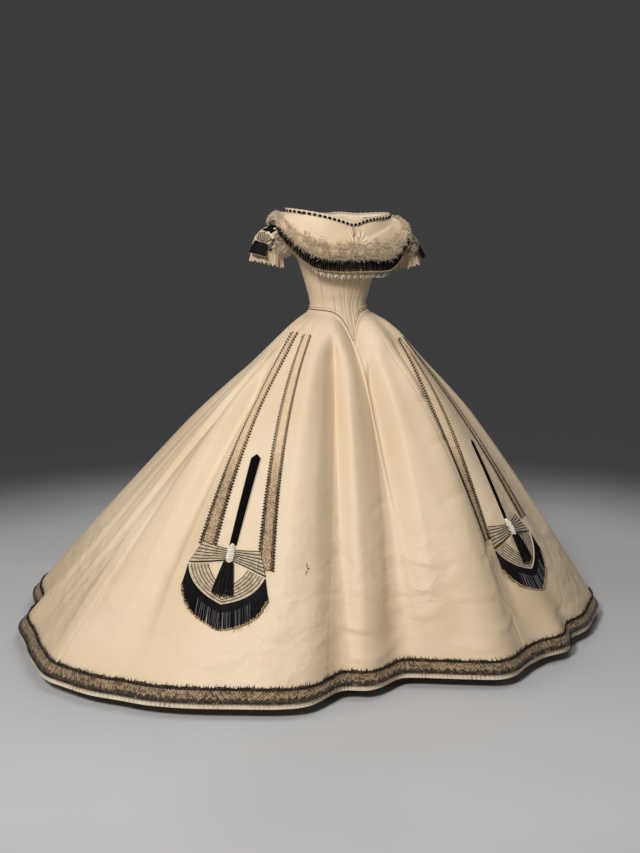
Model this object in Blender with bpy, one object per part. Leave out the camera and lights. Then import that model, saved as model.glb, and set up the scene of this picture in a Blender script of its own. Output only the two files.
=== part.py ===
"""An off-the-shoulder silk ball gown of the 1860s, in its worn, hollow form.

Units are metres and +Z is up. The origin is the centre of the waist. The wearer's front faces -Y
and the wearer's left side is +X. An angle round the body is 0 at the front and 90 at the wearer's left.
"""

import math

import bpy
import numpy as np

# Heights, measured from the waist.
HEM_Z = -0.976
PLEATING_Z = -0.990
LACE_TOP_Z = -0.946
UNDERARM_Z = 0.180
WAIST_ROW_Z = 0.004

# Thicknesses and clearances.
SILK = 0.0020
TRIM = 0.0014
SEAM = 0.0003
LAYER = 0.0005
UNDER_BASQUE = 0.0013

# The basque's lower edge: nearly level at the sides, with a long point in front and a short one behind.
BASQUE_LEVEL = 0.011
FRONT_POINT = 0.092
FRONT_POINT_SPREAD = 12.0
BACK_POINT = 0.030
BACK_POINT_SPREAD = 20.0

# Half widths of the bodice at each height: to the side, to the front and to the back.
# Columns: height, side, front, back.
BODICE = (
    (-0.120, 0.100, 0.129, 0.096),
    (-0.050, 0.093, 0.101, 0.084),
    (0.004, 0.089, 0.079, 0.075),
    (0.055, 0.101, 0.091, 0.079),
    (0.105, 0.117, 0.107, 0.084),
    (0.150, 0.134, 0.119, 0.089),
    (0.180, 0.147, 0.121, 0.093),
    (0.240, 0.158, 0.117, 0.096),
    (0.300, 0.161, 0.112, 0.097),
)
BUST_ANGLE = 30.0
BUST_SPREAD = 18.0
BUST_Z = 0.190
BUST_HEIGHT = 0.050
BUST_FULLNESS = 0.010

# The neckline and the bertha's lower edge, for one side. The wearer's left hangs lower by SHOULDER_SLIP.
# Columns: angle, radius, height.
NECK = (
    (0, 0.1200, 0.250),
    (20, 0.1235, 0.262),
    (45, 0.1370, 0.277),
    (70, 0.1585, 0.288),
    (90, 0.1670, 0.292),
    (115, 0.1520, 0.291),
    (145, 0.1180, 0.284),
    (180, 0.1060, 0.276),
)
BERTHA_EDGE = (
    (0, 0.1460, 0.142),
    (25, 0.1500, 0.143),
    (45, 0.1660, 0.153),
    (60, 0.1880, 0.182),
    (72, 0.2170, 0.230),
    (90, 0.1980, 0.264),
    (108, 0.2060, 0.248),
    (135, 0.1720, 0.206),
    (160, 0.1420, 0.188),
    (180, 0.1360, 0.184),
)
SHOULDER_SLIP = 0.014
NECK_BAND_HEIGHT = 0.010
BERTHA_BULGE = 0.009
BERTHA_PLEAT_DEPTH = 0.0035
BERTHA_PLEATS = 4
BERTHA_STRAP_WIDTH = 0.013

# The skirt's hem, as the distance from the waist's axis at each angle. It is longest behind.
# Columns: angle, radius.
HEM = (
    (-180, 1.100), (-160, 1.090), (-140, 1.060), (-120, 1.010), (-100, 0.985), (-85, 0.995),
    (-70, 0.990), (-60, 0.965), (-52, 0.915), (-44, 0.875), (-33, 0.820), (-28, 0.790),
    (-23, 0.715), (-16, 0.688), (-7, 0.642), (0, 0.648), (8, 0.700), (14, 0.738),
    (24, 0.745), (31, 0.748), (38, 0.756), (46, 0.768), (56, 0.797), (70, 0.825),
    (85, 0.860), (100, 0.910), (120, 0.985), (140, 1.050), (160, 1.085), (180, 1.100),
)
SPREAD_POWER = 0.80
SPREAD_POWER_RIGHT = 0.93
SKIRT_STEP = 5.0
SKIRT_ROWS = (0.05, 0.11, 0.19, 0.29, 0.41, 0.54, 0.67, 0.79, 0.89)
PUFF = 0.009
EDGE_DROP = 0.010
EDGE_DROP_LIMIT = 3.0

# Each large fold: its angle at the waist and at the hem, its half width in degrees, its height
# (below zero for a hollow), and the shares of the skirt's length where it starts, is full and ends.
# Columns: top, hem, width, height, start, full, hem share.
FOLDS = (
    (-170, -172, 6.0, 0.028, 0.10, 0.45, 1.0),
    (-160, -163, 5.0, -0.026, 0.08, 0.35, 0.8),
    (-148, -150, 6.0, 0.030, 0.10, 0.45, 1.0),
    (-136, -139, 5.0, -0.030, 0.08, 0.30, 0.8),
    (-122, -126, 6.0, 0.026, 0.10, 0.40, 1.0),
    (-108, -113, 5.0, -0.030, 0.08, 0.30, 0.8),
    (-94, -101, 5.5, 0.020, 0.10, 0.40, 0.6),
    (-80, -91, 5.5, -0.045, 0.08, 0.26, 0.15),
    (-75, -76, 4.5, 0.018, 0.08, 0.26, 0.8),
    (-70, -60, 4.5, -0.036, 0.10, 0.28, 0.4),
    (-56, -52, 7.0, 0.012, 0.08, 0.30, 0.5),
    (-41, -32, 6.0, 0.026, 0.03, 0.14, 0.5),
    (-29, -22, 4.5, -0.034, 0.02, 0.12, 0.6),
    (-12, -15, 6.0, 0.014, 0.04, 0.15, 0.6),
    (10, -7, 5.0, -0.030, 0.04, 0.15, 0.7),
    (33, 15, 6.0, 0.026, 0.04, 0.20, 0.7),
    (43, 25, 4.5, -0.022, 0.05, 0.20, 0.5),
    (54, 38, 5.5, 0.006, 0.08, 0.30, 0.4),
    (31, 31, 4.0, -0.012, 0.84, 0.99, 1.0),
    (38, 38, 4.0, 0.012, 0.84, 0.99, 1.0),
    (47, 47, 4.5, -0.018, 0.84, 0.99, 1.0),
    (74, 70, 6.0, 0.020, 0.10, 0.35, 1.0),
    (86, 84, 5.0, -0.028, 0.08, 0.30, 0.8),
    (99, 98, 6.0, 0.024, 0.10, 0.40, 1.0),
    (112, 112, 5.0, -0.030, 0.08, 0.30, 0.8),
    (126, 127, 6.0, 0.028, 0.10, 0.40, 1.0),
    (139, 140, 5.0, -0.028, 0.08, 0.35, 0.8),
    (151, 152, 6.0, 0.030, 0.10, 0.45, 1.0),
    (163, 165, 5.0, -0.026, 0.08, 0.35, 0.8),
    (174, 176, 5.0, 0.020, 0.10, 0.45, 1.0),
)
# Columns: angle, width, height, share, share width.
PUFFS = (
    (-24, 11.0, 0.014, 0.055, 0.045),
    (26, 12.0, 0.016, 0.055, 0.045),
    (-62, 14.0, 0.008, 0.060, 0.050),
    (66, 14.0, 0.008, 0.060, 0.050),
)
WAIST_GATHER = 0.0045
WAIST_GATHER_END = 0.22
WAIST_GATHER_FROM = 50.0

# Seams of the skirt's gores and of the bodice's panels, as angles.
GORES = (
    ("skirt_front", -25, 25),
    ("skirt_side_front_left", 25, 75),
    ("skirt_side_back_left", 75, 125),
    ("skirt_back_left", 125, 180),
    ("skirt_back_right", -180, -125),
    ("skirt_side_back_right", -125, -75),
    ("skirt_side_front_right", -75, -25),
)
BODICE_PANELS = (
    ("bodice_front", (-55, -45, -35, -25, -20, -15, -10, -5, 0, 5, 10, 15, 20, 25, 35, 45, 55)),
    ("bodice_side_left", (55, 65, 75, 85, 95, 105, 115)),
    ("bodice_back_left", (115, 125, 135, 145, 155, 165, 175, 180)),
    ("bodice_back_right", (-180, -175, -165, -155, -145, -135, -125, -115)),
    ("bodice_side_right", (-115, -105, -95, -85, -75, -65, -55)),
)
BODICE_ROWS = (0.055, 0.105, 0.150)

# Hem trims.
HEADER_RISE = 0.012
HEADER_WAVE = 0.0030
PLEATING_WAVE = 0.0016
LACE_OUT = 0.0006

# Bands of lace on the skirt: the angle and the depth below the waist at both ends, the widths, and how
# far the outer face lies out from the silk.
# Columns: name, top angle, top, end angle, end, top width, end width, out.
BANDS = (
    ("lace_band_right_outer", -65.0, 0.072, -55.2, 0.584, 0.027, 0.046, 0.0036),
    ("lace_band_right_inner", -53.0, 0.078, -40.2, 0.672, 0.026, 0.043, 0.0024),
    ("lace_band_left_inner", 54.0, 0.120, 28.6, 0.620, 0.024, 0.041, 0.0035),
    ("lace_band_left_outer", 64.0, 0.100, 52.8, 0.640, 0.022, 0.040, 0.0027),
)
BAND_ROW = 0.034
BAND_SPOTS = (-1.0, -0.5, 0.0, 0.5, 1.0)

# Ornaments on the skirt: the knob's angle and depth, the angle of the stem's top, the bow's lean in degrees,
# how far it swings across per metre down, the strands' own swing, and how far the bow lies out from the silk.
# Columns: side, angle, below, stem angle, lean, swing, strand swing, out.
ORNAMENTS = (
    ("right", -48.9, 0.637, -50.6, 9.0, 0.095, 0.12, 0.0030),
    ("left", 40.0, 0.648, 47.2, -3.0, 0.018, 0.0, 0.0022),
)
ARC_DROP = 0.0006
STEM_OUT = 0.0011
SLOPE_SHARE = 0.82
STEM_LENGTH = 0.300
STEM_WIDTH = 0.022
STEM_END_WIDTH = 0.018
KNOB_LENGTH = 0.066
KNOB_WIDTH = 0.025
KNOB_THICKNESS = 0.012
FAN_HALF_WIDTH = 0.108
FAN_POINT = 0.144
BRAID_ROWS = 4
BRAID_RIB = 0.0012
ORNAMENT_STRANDS = 34
ORNAMENT_FRINGE = 0.070
TASSEL_STRANDS = 11
TASSEL_LENGTH = 0.095
TASSEL_WIDTH = 0.030
TASSEL_FLARE = 0.060
TASSEL_OUT = 0.0034
TASSEL_DEPTH = 0.006

# Bertha trims.
RUCHE_WIDTH = 0.040
RUCHE_THICKNESS = 0.016
RUCHE_WAVES = 24
RUCHE_OUT = 0.0050
FRINGE_FRONT_STRANDS = 56
FRINGE_BACK_STRANDS = 38
FRINGE_LENGTH = 0.030
FRINGE_STRIP = 0.005
FRILL_LENGTH = 0.052
FRILL_WAVE = 0.0045
FRILL_STEP = 4.0
EDGE_CLEAR = LAYER + 0.4 * SILK + SEAM

# Sleeves, for the wearer's left. The right one is its mirror image.
# Columns: share, x, y, z, tilt, up radius, side radius.
SLEEVE = (
    (0.00, 0.1487, 0.006, 0.2161, 4.0, 0.0360, 0.048),
    (0.20, 0.1730, 0.007, 0.2100, 16.0, 0.0410, 0.054),
    (0.50, 0.2015, 0.008, 0.1990, 38.0, 0.0480, 0.058),
    (0.80, 0.2205, 0.007, 0.1820, 62.0, 0.0510, 0.058),
    (1.00, 0.2265, 0.006, 0.1630, 76.0, 0.0495, 0.055),
)
SLEEVE_SIDES = 16
SLEEVE_TRIM_OUT = 0.0007
SLEEVE_FRINGE_OUT = 0.0018
SLEEVE_FRINGE_DEPTH = 0.0022
# Columns: name, first share, last share, low turn, high turn, ribs, look.
SLEEVE_TRIMS = (
    ("braid", 0.60, 0.84, 12, 60, 1, "braid"),
    ("stripes", 0.26, 0.56, 50, 100, 1, "braid"),
    ("velvet", 0.36, 0.58, 4, 46, 0, "velvet"),
    ("band", 0.60, 0.98, 66, 80, 0, "velvet"),
)
SLEEVE_FRILL = 0.034
SLEEVE_FRILL_WAVES = 8
SLEEVE_STRANDS = 12
SLEEVE_FRINGE = 0.036

IVORY_SILK = (0.80, 0.66, 0.47, 1.0)
CREAM_LACE = (0.78, 0.68, 0.53, 1.0)
BLACK_SILK = (0.012, 0.010, 0.010, 1.0)
BLACK_VELVET = (0.006, 0.005, 0.006, 1.0)
BLACK_LACE = (0.10, 0.075, 0.055, 1.0)
BRAID_CREAM = (0.70, 0.60, 0.47, 1.0)
KNOB_WHITE = (0.84, 0.80, 0.68, 1.0)


def clear_scene():
    for item in list(bpy.data.objects):
        bpy.data.objects.remove(item, do_unlink=True)


def smooth_table(value, places, heights):
    """A smooth curve through a table's points, read at one value."""
    places = list(places)
    heights = list(heights)
    if value <= places[0]:
        return heights[0]
    if value >= places[-1]:
        return heights[-1]
    k = max(i for i in range(len(places) - 1) if places[i] <= value)
    span = places[k + 1] - places[k]
    u = (value - places[k]) / span
    before = max(k - 1, 0)
    after = min(k + 2, len(places) - 1)
    slope_a = (heights[k + 1] - heights[before]) / (places[k + 1] - places[before]) * span
    slope_b = (heights[after] - heights[k]) / (places[after] - places[k]) * span
    return (
        (2 * u**3 - 3 * u**2 + 1) * heights[k]
        + (u**3 - 2 * u**2 + u) * slope_a
        + (3 * u**2 - 2 * u**3) * heights[k + 1]
        + (u**3 - u**2) * slope_b
    )


def column(table, number):
    return [row[number] for row in table]


def ease(value, start, end):
    """0 before start, 1 after end, and smooth between them."""
    u = min(max((value - start) / (end - start), 0.0), 1.0)
    return u * u * (3 - 2 * u)


def polar(angle, radius, z):
    """The point at an angle in degrees round the waist's axis."""
    a = math.radians(angle)
    return np.array([radius * math.sin(a), -radius * math.cos(a), z])


def turn_between(angle, other):
    """The smallest turn in degrees from one angle to another."""
    return (angle - other + 180.0) % 360.0 - 180.0


def basque_edge(angle):
    """Height of the basque's lower edge."""
    front = FRONT_POINT * math.exp(-abs(turn_between(angle, 0)) / FRONT_POINT_SPREAD)
    back = BACK_POINT * math.exp(-abs(turn_between(angle, 180)) / BACK_POINT_SPREAD)
    return -BASQUE_LEVEL - front - back


def bodice_radius(angle, z):
    """Outer radius of the bodice, an oval at each height with two soft bust darts' fullness."""
    side = smooth_table(z, column(BODICE, 0), column(BODICE, 1))
    front = smooth_table(z, column(BODICE, 0), column(BODICE, 2))
    back = smooth_table(z, column(BODICE, 0), column(BODICE, 3))
    a = math.radians(angle)
    depth = front if math.cos(a) > 0 else back
    oval = 1.0 / math.hypot(math.sin(a) / side, math.cos(a) / depth)
    across = turn_between(abs(turn_between(angle, 0)), BUST_ANGLE) / BUST_SPREAD
    up = (z - BUST_Z) / BUST_HEIGHT
    return oval + BUST_FULLNESS * math.exp(-across**2 - up**2)


def around(table, angle, number):
    """A radius or a height of a table that holds one side only, at any angle."""
    angle = turn_between(angle, 0)
    before = (-table[1][0], *table[1][1:])
    after = (360 - table[-2][0], *table[-2][1:])
    rows = (before, *table, after)
    value = smooth_table(abs(angle), column(rows, 0), column(rows, number))
    if number == 1:
        return value
    return value - SHOULDER_SLIP * ease(angle, 15, 65) * (1 - ease(angle, 120, 165))


def bodice_top(angle):
    """Height of the bodice's top edge: the neckline in front and behind, the armhole at the sides."""
    neck = around(NECK, angle, 2) - NECK_BAND_HEIGHT - LAYER
    turn = abs(turn_between(angle, 0))
    armhole = ease(turn, 56, 72) * (1 - ease(turn, 106, 122))
    return neck + (UNDERARM_Z - neck) * armhole


def hem_radius(angle):
    return smooth_table(turn_between(angle, 0), column(HEM, 0), column(HEM, 1))


def folds_at(angle, share):
    """How far the large folds push the skirt out, at an angle and a share of its length."""
    total = 0.0
    for top, hem, width, height, start, full, hem_share in FOLDS:
        middle = top + (hem - top) * share**0.7
        across = turn_between(angle, middle) / width
        strength = ease(share, start, full) * (1 - (1 - hem_share) * ease(share, full, 1.0))
        total += height * strength * math.exp(-across * across)
    for middle, width, height, full, length in PUFFS:
        across = turn_between(angle, middle) / width
        along = (share - full) / length
        total += height * ease(share, 0.0, 0.03) * math.exp(-across * across - along * along)
    return total


def gathers_at(angle, share):
    """Cartridge pleats at the waist, at the sides and behind, which fade out down the skirt."""
    if abs(turn_between(angle, 0)) < WAIST_GATHER_FROM:
        return 0.0
    strength = ease(share, 0.0, 0.04) * (1 - ease(share, 0.06, WAIST_GATHER_END))
    return WAIST_GATHER * strength * math.cos(math.pi * angle / SKIRT_STEP)


def edge_slope(angle):
    """How much steeper the basque's edge runs here than a level one."""
    rise = basque_edge(angle + 1) - basque_edge(angle - 1)
    run = bodice_radius(angle, basque_edge(angle)) * math.radians(2)
    return min(math.hypot(1, rise / run), EDGE_DROP_LIMIT)


def skirt_top(angle):
    """Radius and height where the skirt comes out from under the basque."""
    edge = basque_edge(angle)
    return bodice_radius(angle, edge) + PUFF, edge - EDGE_DROP * edge_slope(angle)


def skirt_share(angle, z):
    top = skirt_top(angle)[1]
    return (top - z) / (top - HEM_Z)


def spread_power(angle):
    """How the skirt spreads down its height. It is straighter at the wearer's right, towards the back."""
    turn = -turn_between(angle, 0)
    straight = ease(turn, 66, 96) * (1 - ease(turn, 145, 180))
    return SPREAD_POWER + (SPREAD_POWER_RIGHT - SPREAD_POWER) * straight


def skirt_radius(angle, z):
    """Outer radius of the skirt below the basque's edge."""
    start = skirt_top(angle)[0]
    share = skirt_share(angle, z)
    if share <= 0:
        return start
    spread = start + (hem_radius(angle) - start) * share**spread_power(angle)
    return spread + folds_at(angle, share) + gathers_at(angle, share)


def skirt_heights(angle):
    """Heights of the skirt's rows at an angle, from the waist down."""
    edge = basque_edge(angle)
    top = skirt_top(angle)[1]
    rows = [WAIST_ROW_Z - 0.002, edge - UNDER_BASQUE * edge_slope(angle), top]
    rows += [top + (HEM_Z - top) * share for share in SKIRT_ROWS]
    return rows + [LACE_TOP_Z, HEM_Z]


def skirt_column(angle, radius_shift=0.0):
    """The skirt's outer points at one angle, from the waist down."""
    points = []
    for row, z in enumerate(skirt_heights(angle)):
        if row < 2:
            radius = bodice_radius(angle, z) - SILK - UNDER_BASQUE
        else:
            radius = skirt_radius(angle, z)
        points.append(polar(angle, radius + radius_shift, z))
    return np.array(points)


SKIRT_ANGLES = [-180.0 + SKIRT_STEP * k for k in range(int(360 / SKIRT_STEP) + 1)]
SKIRT_GRID = np.array([skirt_column(angle) for angle in SKIRT_ANGLES])


def skirt_point(angle, z):
    """The point of the skirt's triangles at an angle and a height."""
    place = (turn_between(angle, 0) + 180.0) / SKIRT_STEP
    k = min(int(place), len(SKIRT_ANGLES) - 2)
    near = SKIRT_GRID[k]
    far = SKIRT_GRID[k + 1]
    line = [near[2] + (far[2] - near[2]) * (place - k)]
    for row in range(2, len(near) - 1):
        line.append(near[row] + (far[row + 1] - near[row]) * (place - k))
        line.append(near[row + 1] + (far[row + 1] - near[row + 1]) * (place - k))
    row = 0
    while row < len(line) - 2 and line[row + 1][2] > z:
        row += 1
    high = line[row]
    low = line[row + 1]
    return low + (high - low) * ((z - low[2]) / (high[2] - low[2]))


def skirt_normal(angle, z):
    step = 1.5
    across = skirt_point(angle + step, z) - skirt_point(angle - step, z)
    down = skirt_point(angle, z - 0.02) - skirt_point(angle, z + 0.02)
    normal = np.cross(down, across)
    return normal / np.linalg.norm(normal)


def on_skirt(angle, z, out):
    return skirt_point(angle, z) + skirt_normal(angle, z) * out


def material(name, colour, roughness, sheen=0.0):
    new = bpy.data.materials.new(name)
    new.use_nodes = True
    shader = new.node_tree.nodes["Principled BSDF"]
    shader.inputs["Base Color"].default_value = colour
    shader.inputs["Roughness"].default_value = roughness
    shader.inputs["Metallic"].default_value = 0.0
    shader.inputs["Sheen Weight"].default_value = sheen
    new.diffuse_color = colour
    return new


def make_object(name, points, faces, look):
    """A closed mesh object with its faces turned outward."""
    points = np.array(points)
    corners = points[np.array(faces)]
    if np.linalg.det(corners).sum() < 0:
        faces = [tuple(reversed(face)) for face in faces]
    mesh = bpy.data.meshes.new(name)
    mesh.from_pydata([tuple(p) for p in points], [], faces)
    mesh.materials.append(look)
    mesh.shade_smooth()
    mesh.set_sharp_from_angle(angle=math.radians(50))
    mesh.update()
    made = bpy.data.objects.new(name, mesh)
    bpy.context.scene.collection.objects.link(made)
    return made


def by_rows(columns):
    """A grid given column by column, as rows."""
    return np.array(columns).transpose(1, 0, 2)


def wall(name, outer, inner, look, closed=False):
    """A wall between two grids of points with the same rows and columns, closed at its edges."""
    outer = np.array(outer)
    inner = np.array(inner)
    rows, columns = outer.shape[:2]
    points = np.concatenate([outer.reshape(-1, 3), inner.reshape(-1, 3)])
    faces = []

    def at(side, i, j):
        return side * rows * columns + i * columns + j % columns

    def quad(a, b, c, d):
        faces.append((a, b, c))
        faces.append((a, c, d))

    spans = columns if closed else columns - 1
    for i in range(rows - 1):
        for j in range(spans):
            quad(at(0, i, j), at(0, i + 1, j), at(0, i + 1, j + 1), at(0, i, j + 1))
            faces.append((at(1, i, j), at(1, i + 1, j + 1), at(1, i + 1, j)))
            faces.append((at(1, i, j), at(1, i, j + 1), at(1, i + 1, j + 1)))
    for j in range(spans):
        quad(at(0, 0, j), at(0, 0, j + 1), at(1, 0, j + 1), at(1, 0, j))
        last = rows - 1
        quad(at(0, last, j + 1), at(0, last, j), at(1, last, j), at(1, last, j + 1))
    if not closed:
        last = columns - 1
        for i in range(rows - 1):
            quad(at(0, i + 1, 0), at(0, i, 0), at(1, i, 0), at(1, i + 1, 0))
            quad(at(0, i, last), at(0, i + 1, last), at(1, i + 1, last), at(1, i, last))
    return make_object(name, points, faces, look)


def roll(name, sections, look, closed=False):
    """A solid through a row of closed sections that all have the same number of points."""
    sections = np.array(sections)
    count, sides = sections.shape[:2]
    points = sections.reshape(-1, 3)
    faces = []
    for i in range(count if closed else count - 1):
        for j in range(sides):
            a = i * sides + j
            b = i * sides + (j + 1) % sides
            c = (i + 1) % count * sides + (j + 1) % sides
            d = (i + 1) % count * sides + j
            faces.append((a, b, c))
            faces.append((a, c, d))
    if not closed:
        end = (count - 1) * sides
        for j in range(1, sides - 1):
            faces.append((0, j + 1, j))
            faces.append((end, end + j, end + j + 1))
    return make_object(name, points, faces, look)


def fringe(name, roots, backs, ups, ends, look, taper=0.55):
    """Strands side by side that hang from a narrow strip and part below it.

    roots are the strip's lower front points, backs go from front to back and ups from the lower
    edge to the upper one. ends has the middle of each strand's tip, one less than roots.
    """
    points = []
    for root, back, up in zip(roots, backs, ups):
        points += [root, root + back, root + up, root + up + back]
    faces = []

    def quad(a, b, c, d):
        faces.append((a, b, c))
        faces.append((a, c, d))

    for j in range(len(ends)):
        a = 4 * j
        b = 4 * j + 4
        quad(a, b, b + 2, a + 2)
        quad(b + 1, a + 1, a + 3, b + 3)
        quad(a + 2, b + 2, b + 3, a + 3)
        tip = len(roots) * 4 + 2 * j
        quad(b, a, tip, tip + 1)
        quad(a + 1, b + 1, tip + 1, tip)
        faces.append((a, a + 1, tip))
        faces.append((b + 1, b, tip + 1))
    tips = []
    for j, end in enumerate(ends):
        half = (roots[j + 1] - roots[j]) * taper / 2
        tips += [end - half, end + half]
    last = 4 * (len(roots) - 1)
    quad(1, 0, 2, 3)
    quad(last, last + 1, last + 3, last + 2)
    return make_object(name, points + tips, faces, look)


def skirt_gores(look):
    """The skirt's seven gores, parted at their seams."""
    for name, start, end in GORES:
        angles = [a for a in SKIRT_ANGLES if start <= a <= end]
        outer = np.array([skirt_column(a) for a in angles])
        inner = np.array([skirt_column(a) for a in angles])
        for k, angle in enumerate(angles):
            inward = -polar(angle, SILK * 1.25, 0)
            inner[k] = outer[k] + inward
            inner[k][:2] = outer[k][:2] - polar(angle, SILK, 0)
        for grid in (outer, inner):
            for k, step in ((0, 1), (len(angles) - 1, -1)):
                along = grid[k + step] - grid[k]
                length = np.linalg.norm(along, axis=1, keepdims=True)
                grid[k] = grid[k] + along / length * SEAM / 2
        wall(name, by_rows(outer), by_rows(inner), look)


def bodice_heights(angle):
    top = bodice_top(angle)
    middle = BODICE_ROWS[-1] + (top - BODICE_ROWS[-1]) * 0.5
    return [basque_edge(angle), WAIST_ROW_Z, *BODICE_ROWS, middle, top]


def bodice_panels(look):
    """The front, the sides and the backs, which meet at centre back."""
    for name, angles in BODICE_PANELS:
        outer = []
        inner = []
        for angle in angles:
            shift = 0.0
            if angle == angles[0]:
                shift = SEAM / 2
            if angle == angles[-1]:
                shift = -SEAM / 2
            outer_column = []
            inner_column = []
            for z in bodice_heights(angle):
                radius = bodice_radius(angle, z)
                turned = angle + math.degrees(shift / radius)
                outer_column.append(polar(turned, radius, z))
                inner_column.append(polar(turned, radius - SILK, z))
            outer.append(outer_column)
            inner.append(inner_column)
        wall(name, by_rows(outer), by_rows(inner), look)


def basque_piping(look):
    """A cord laid on the basque just above its lower edge, all round."""
    radius = 0.0018
    angles = [a for a in range(-180, 180, 10) if abs(a) > 30]
    angles += list(range(-30, 31, 5))
    sections = []
    for angle in sorted(angles):
        z = basque_edge(angle) + radius * edge_slope(angle)
        middle = polar(angle, bodice_radius(angle, z) + radius + SEAM, z)
        out = polar(angle, 1, 0)
        along = polar(angle + 2, bodice_radius(angle + 2, z), basque_edge(angle + 2))
        along = along - polar(angle - 2, bodice_radius(angle - 2, z), basque_edge(angle - 2))
        side = np.cross(out, along / np.linalg.norm(along))
        sections.append([middle + radius * (out * math.cos(t) + side * math.sin(t))
                         for t in np.radians([0, 120, 240])])
    roll("basque_piping", sections, look, closed=True)


def neck_band(look):
    """A narrow band round the neckline, with the threaded ribbon's dashes raised in its outer face."""
    step = 9.0
    sections = []
    for k in range(int(360 / step)):
        angle = -180 + step * k
        radius = around(NECK, angle, 1)
        top = around(NECK, angle, 2)
        dash = 0.0010 if k % 4 in (1, 2) else 0.0
        low = top - NECK_BAND_HEIGHT
        sections.append([
            polar(angle, radius + 0.0010, top),
            polar(angle, radius + 0.0012 + dash, (top + low) / 2),
            polar(angle, radius + 0.0010, low),
            polar(angle, radius - 0.0014, low),
            polar(angle, radius - 0.0014, top),
        ])
    roll("neck_band", sections, look, closed=True)


def bertha_point(angle, share, out=0.0):
    """The bertha's outer surface: share is 0 at the neckline and 1 at its lower edge."""
    neck = polar(angle, around(NECK, angle, 1), around(NECK, angle, 2) - NECK_BAND_HEIGHT - LAYER)
    edge = polar(angle, around(BERTHA_EDGE, angle, 1), around(BERTHA_EDGE, angle, 2))
    bulge = BERTHA_BULGE * math.sin(math.pi * share) + out
    return neck + (edge - neck) * share + polar(angle, bulge, bulge * 0.4)


def bertha_pleat(angle, share):
    """Pleats that fan out from the strap's foot over the lower half of the bertha's front."""
    turn = abs(turn_between(angle, 0))
    if turn > 62:
        return 0.0
    fan = math.degrees(math.atan2(1.0 - share, max(turn, 0.1) / 60.0)) / 90.0
    fade = ease(turn, 4, 14) * (1 - ease(turn, 45, 62)) * ease(share, 0.05, 0.3)
    return BERTHA_PLEAT_DEPTH * fade * math.cos(2 * math.pi * BERTHA_PLEATS * fan)


def bertha_facet(angle, share, out=0.0):
    """A point of the bertha's flat facets, moved out."""
    angle = turn_between(angle, 0)
    k = max(i for i in range(len(BERTHA_ANGLES) - 1) if BERTHA_ANGLES[i] <= angle)
    across = (angle - BERTHA_ANGLES[k]) / (BERTHA_ANGLES[k + 1] - BERTHA_ANGLES[k])
    row = min(int(share * (len(BERTHA_SHARES) - 1) + 1e-6), len(BERTHA_SHARES) - 2)
    down = share * (len(BERTHA_SHARES) - 1) - row
    high = BERTHA_GRID[k][row] + (BERTHA_GRID[k + 1][row] - BERTHA_GRID[k][row]) * across
    low = BERTHA_GRID[k][row + 1] + (BERTHA_GRID[k + 1][row + 1] - BERTHA_GRID[k][row + 1]) * across
    return high + (low - high) * down + polar(angle, out, out * 0.4)


STRAP_ANGLE = math.degrees(BERTHA_STRAP_WIDTH / 2 / BERTHA_EDGE[0][1])
BERTHA_FRONT = [STRAP_ANGLE, 10, 16, 22, 29, 36, 44, 53, 63, 75, 90]
BERTHA_BACK = [90, 102, 115, 128, 142, 155, 168, 180]
BERTHA_SHARES = (0.0, 0.2, 0.4, 0.6, 0.8, 1.0)
BERTHA_ANGLES = [-a for a in reversed(BERTHA_BACK)] + [-a for a in reversed(BERTHA_FRONT[:-1])]
BERTHA_ANGLES += BERTHA_FRONT + BERTHA_BACK[1:]
BERTHA_GRID = [[bertha_point(a, s, bertha_pleat(a, s)) for s in BERTHA_SHARES] for a in BERTHA_ANGLES]


def bertha_pieces(look):
    """Four pleated pieces of silk round the shoulders, and the strap that gathers them in front."""
    pieces = (
        ("bertha_front_left", BERTHA_FRONT),
        ("bertha_front_right", [-a for a in reversed(BERTHA_FRONT)]),
        ("bertha_back_left", BERTHA_BACK),
        ("bertha_back_right", [-a for a in reversed(BERTHA_BACK)]),
    )
    for name, angles in pieces:
        outer = []
        for angle in angles:
            inward = 1e-9 * (1 if angle == angles[0] else -1)
            outer.append([bertha_facet(angle + inward, s) for s in BERTHA_SHARES])
        outer = np.array(outer)
        for k, step in ((0, 1), (len(angles) - 1, -1)):
            along = outer[k + step] - outer[k]
            outer[k] += along / np.linalg.norm(along, axis=1, keepdims=True) * SEAM / 2
        inner = outer - np.array([[polar(a, SILK, SILK * 0.4)] * len(BERTHA_SHARES) for a in angles])
        wall(name, by_rows(outer), by_rows(inner), look)
    across = (-STRAP_ANGLE * 0.9, 0.0, STRAP_ANGLE * 0.9)
    outer = [[bertha_point(a, s, 0.0012 + 0.0008 * (a == 0)) for a in across] for s in BERTHA_SHARES[1:]]
    inner = [[bertha_point(a, s, -SILK) for a in across] for s in BERTHA_SHARES[1:]]
    wall("bertha_strap", outer, inner, look)


def ruche(look):
    """A soft gathered roll of net over the bertha's lower edge, all round."""
    count = RUCHE_WAVES * 2
    sections = []
    for k in range(count):
        angle = -180 + 360 * k / count
        full = 1.0 + 0.16 * (-1) ** k
        length = np.linalg.norm(bertha_point(angle, 1) - bertha_point(angle, 0))
        width = min(RUCHE_WIDTH, 0.75 * length) * full
        top_share = max(1.0 - width / length, 0.2)
        low = bertha_facet(angle, 1.0, RUCHE_OUT)
        high = bertha_facet(angle, top_share, RUCHE_OUT)
        middle = bertha_facet(angle, (1.0 + top_share) / 2, RUCHE_OUT)
        rise = RUCHE_THICKNESS * (0.45 + 0.55 * ease(length, 0.03, 0.09))
        out = polar(angle, rise * full, rise * 0.35)
        sections.append([
            low,
            low + (middle - low) * 0.25 + out * 0.75,
            middle + out,
            high + (middle - high) * 0.3 + out * 0.7,
            high,
            middle,
        ])
    roll("bertha_ruche", sections, look, closed=True)


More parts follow.
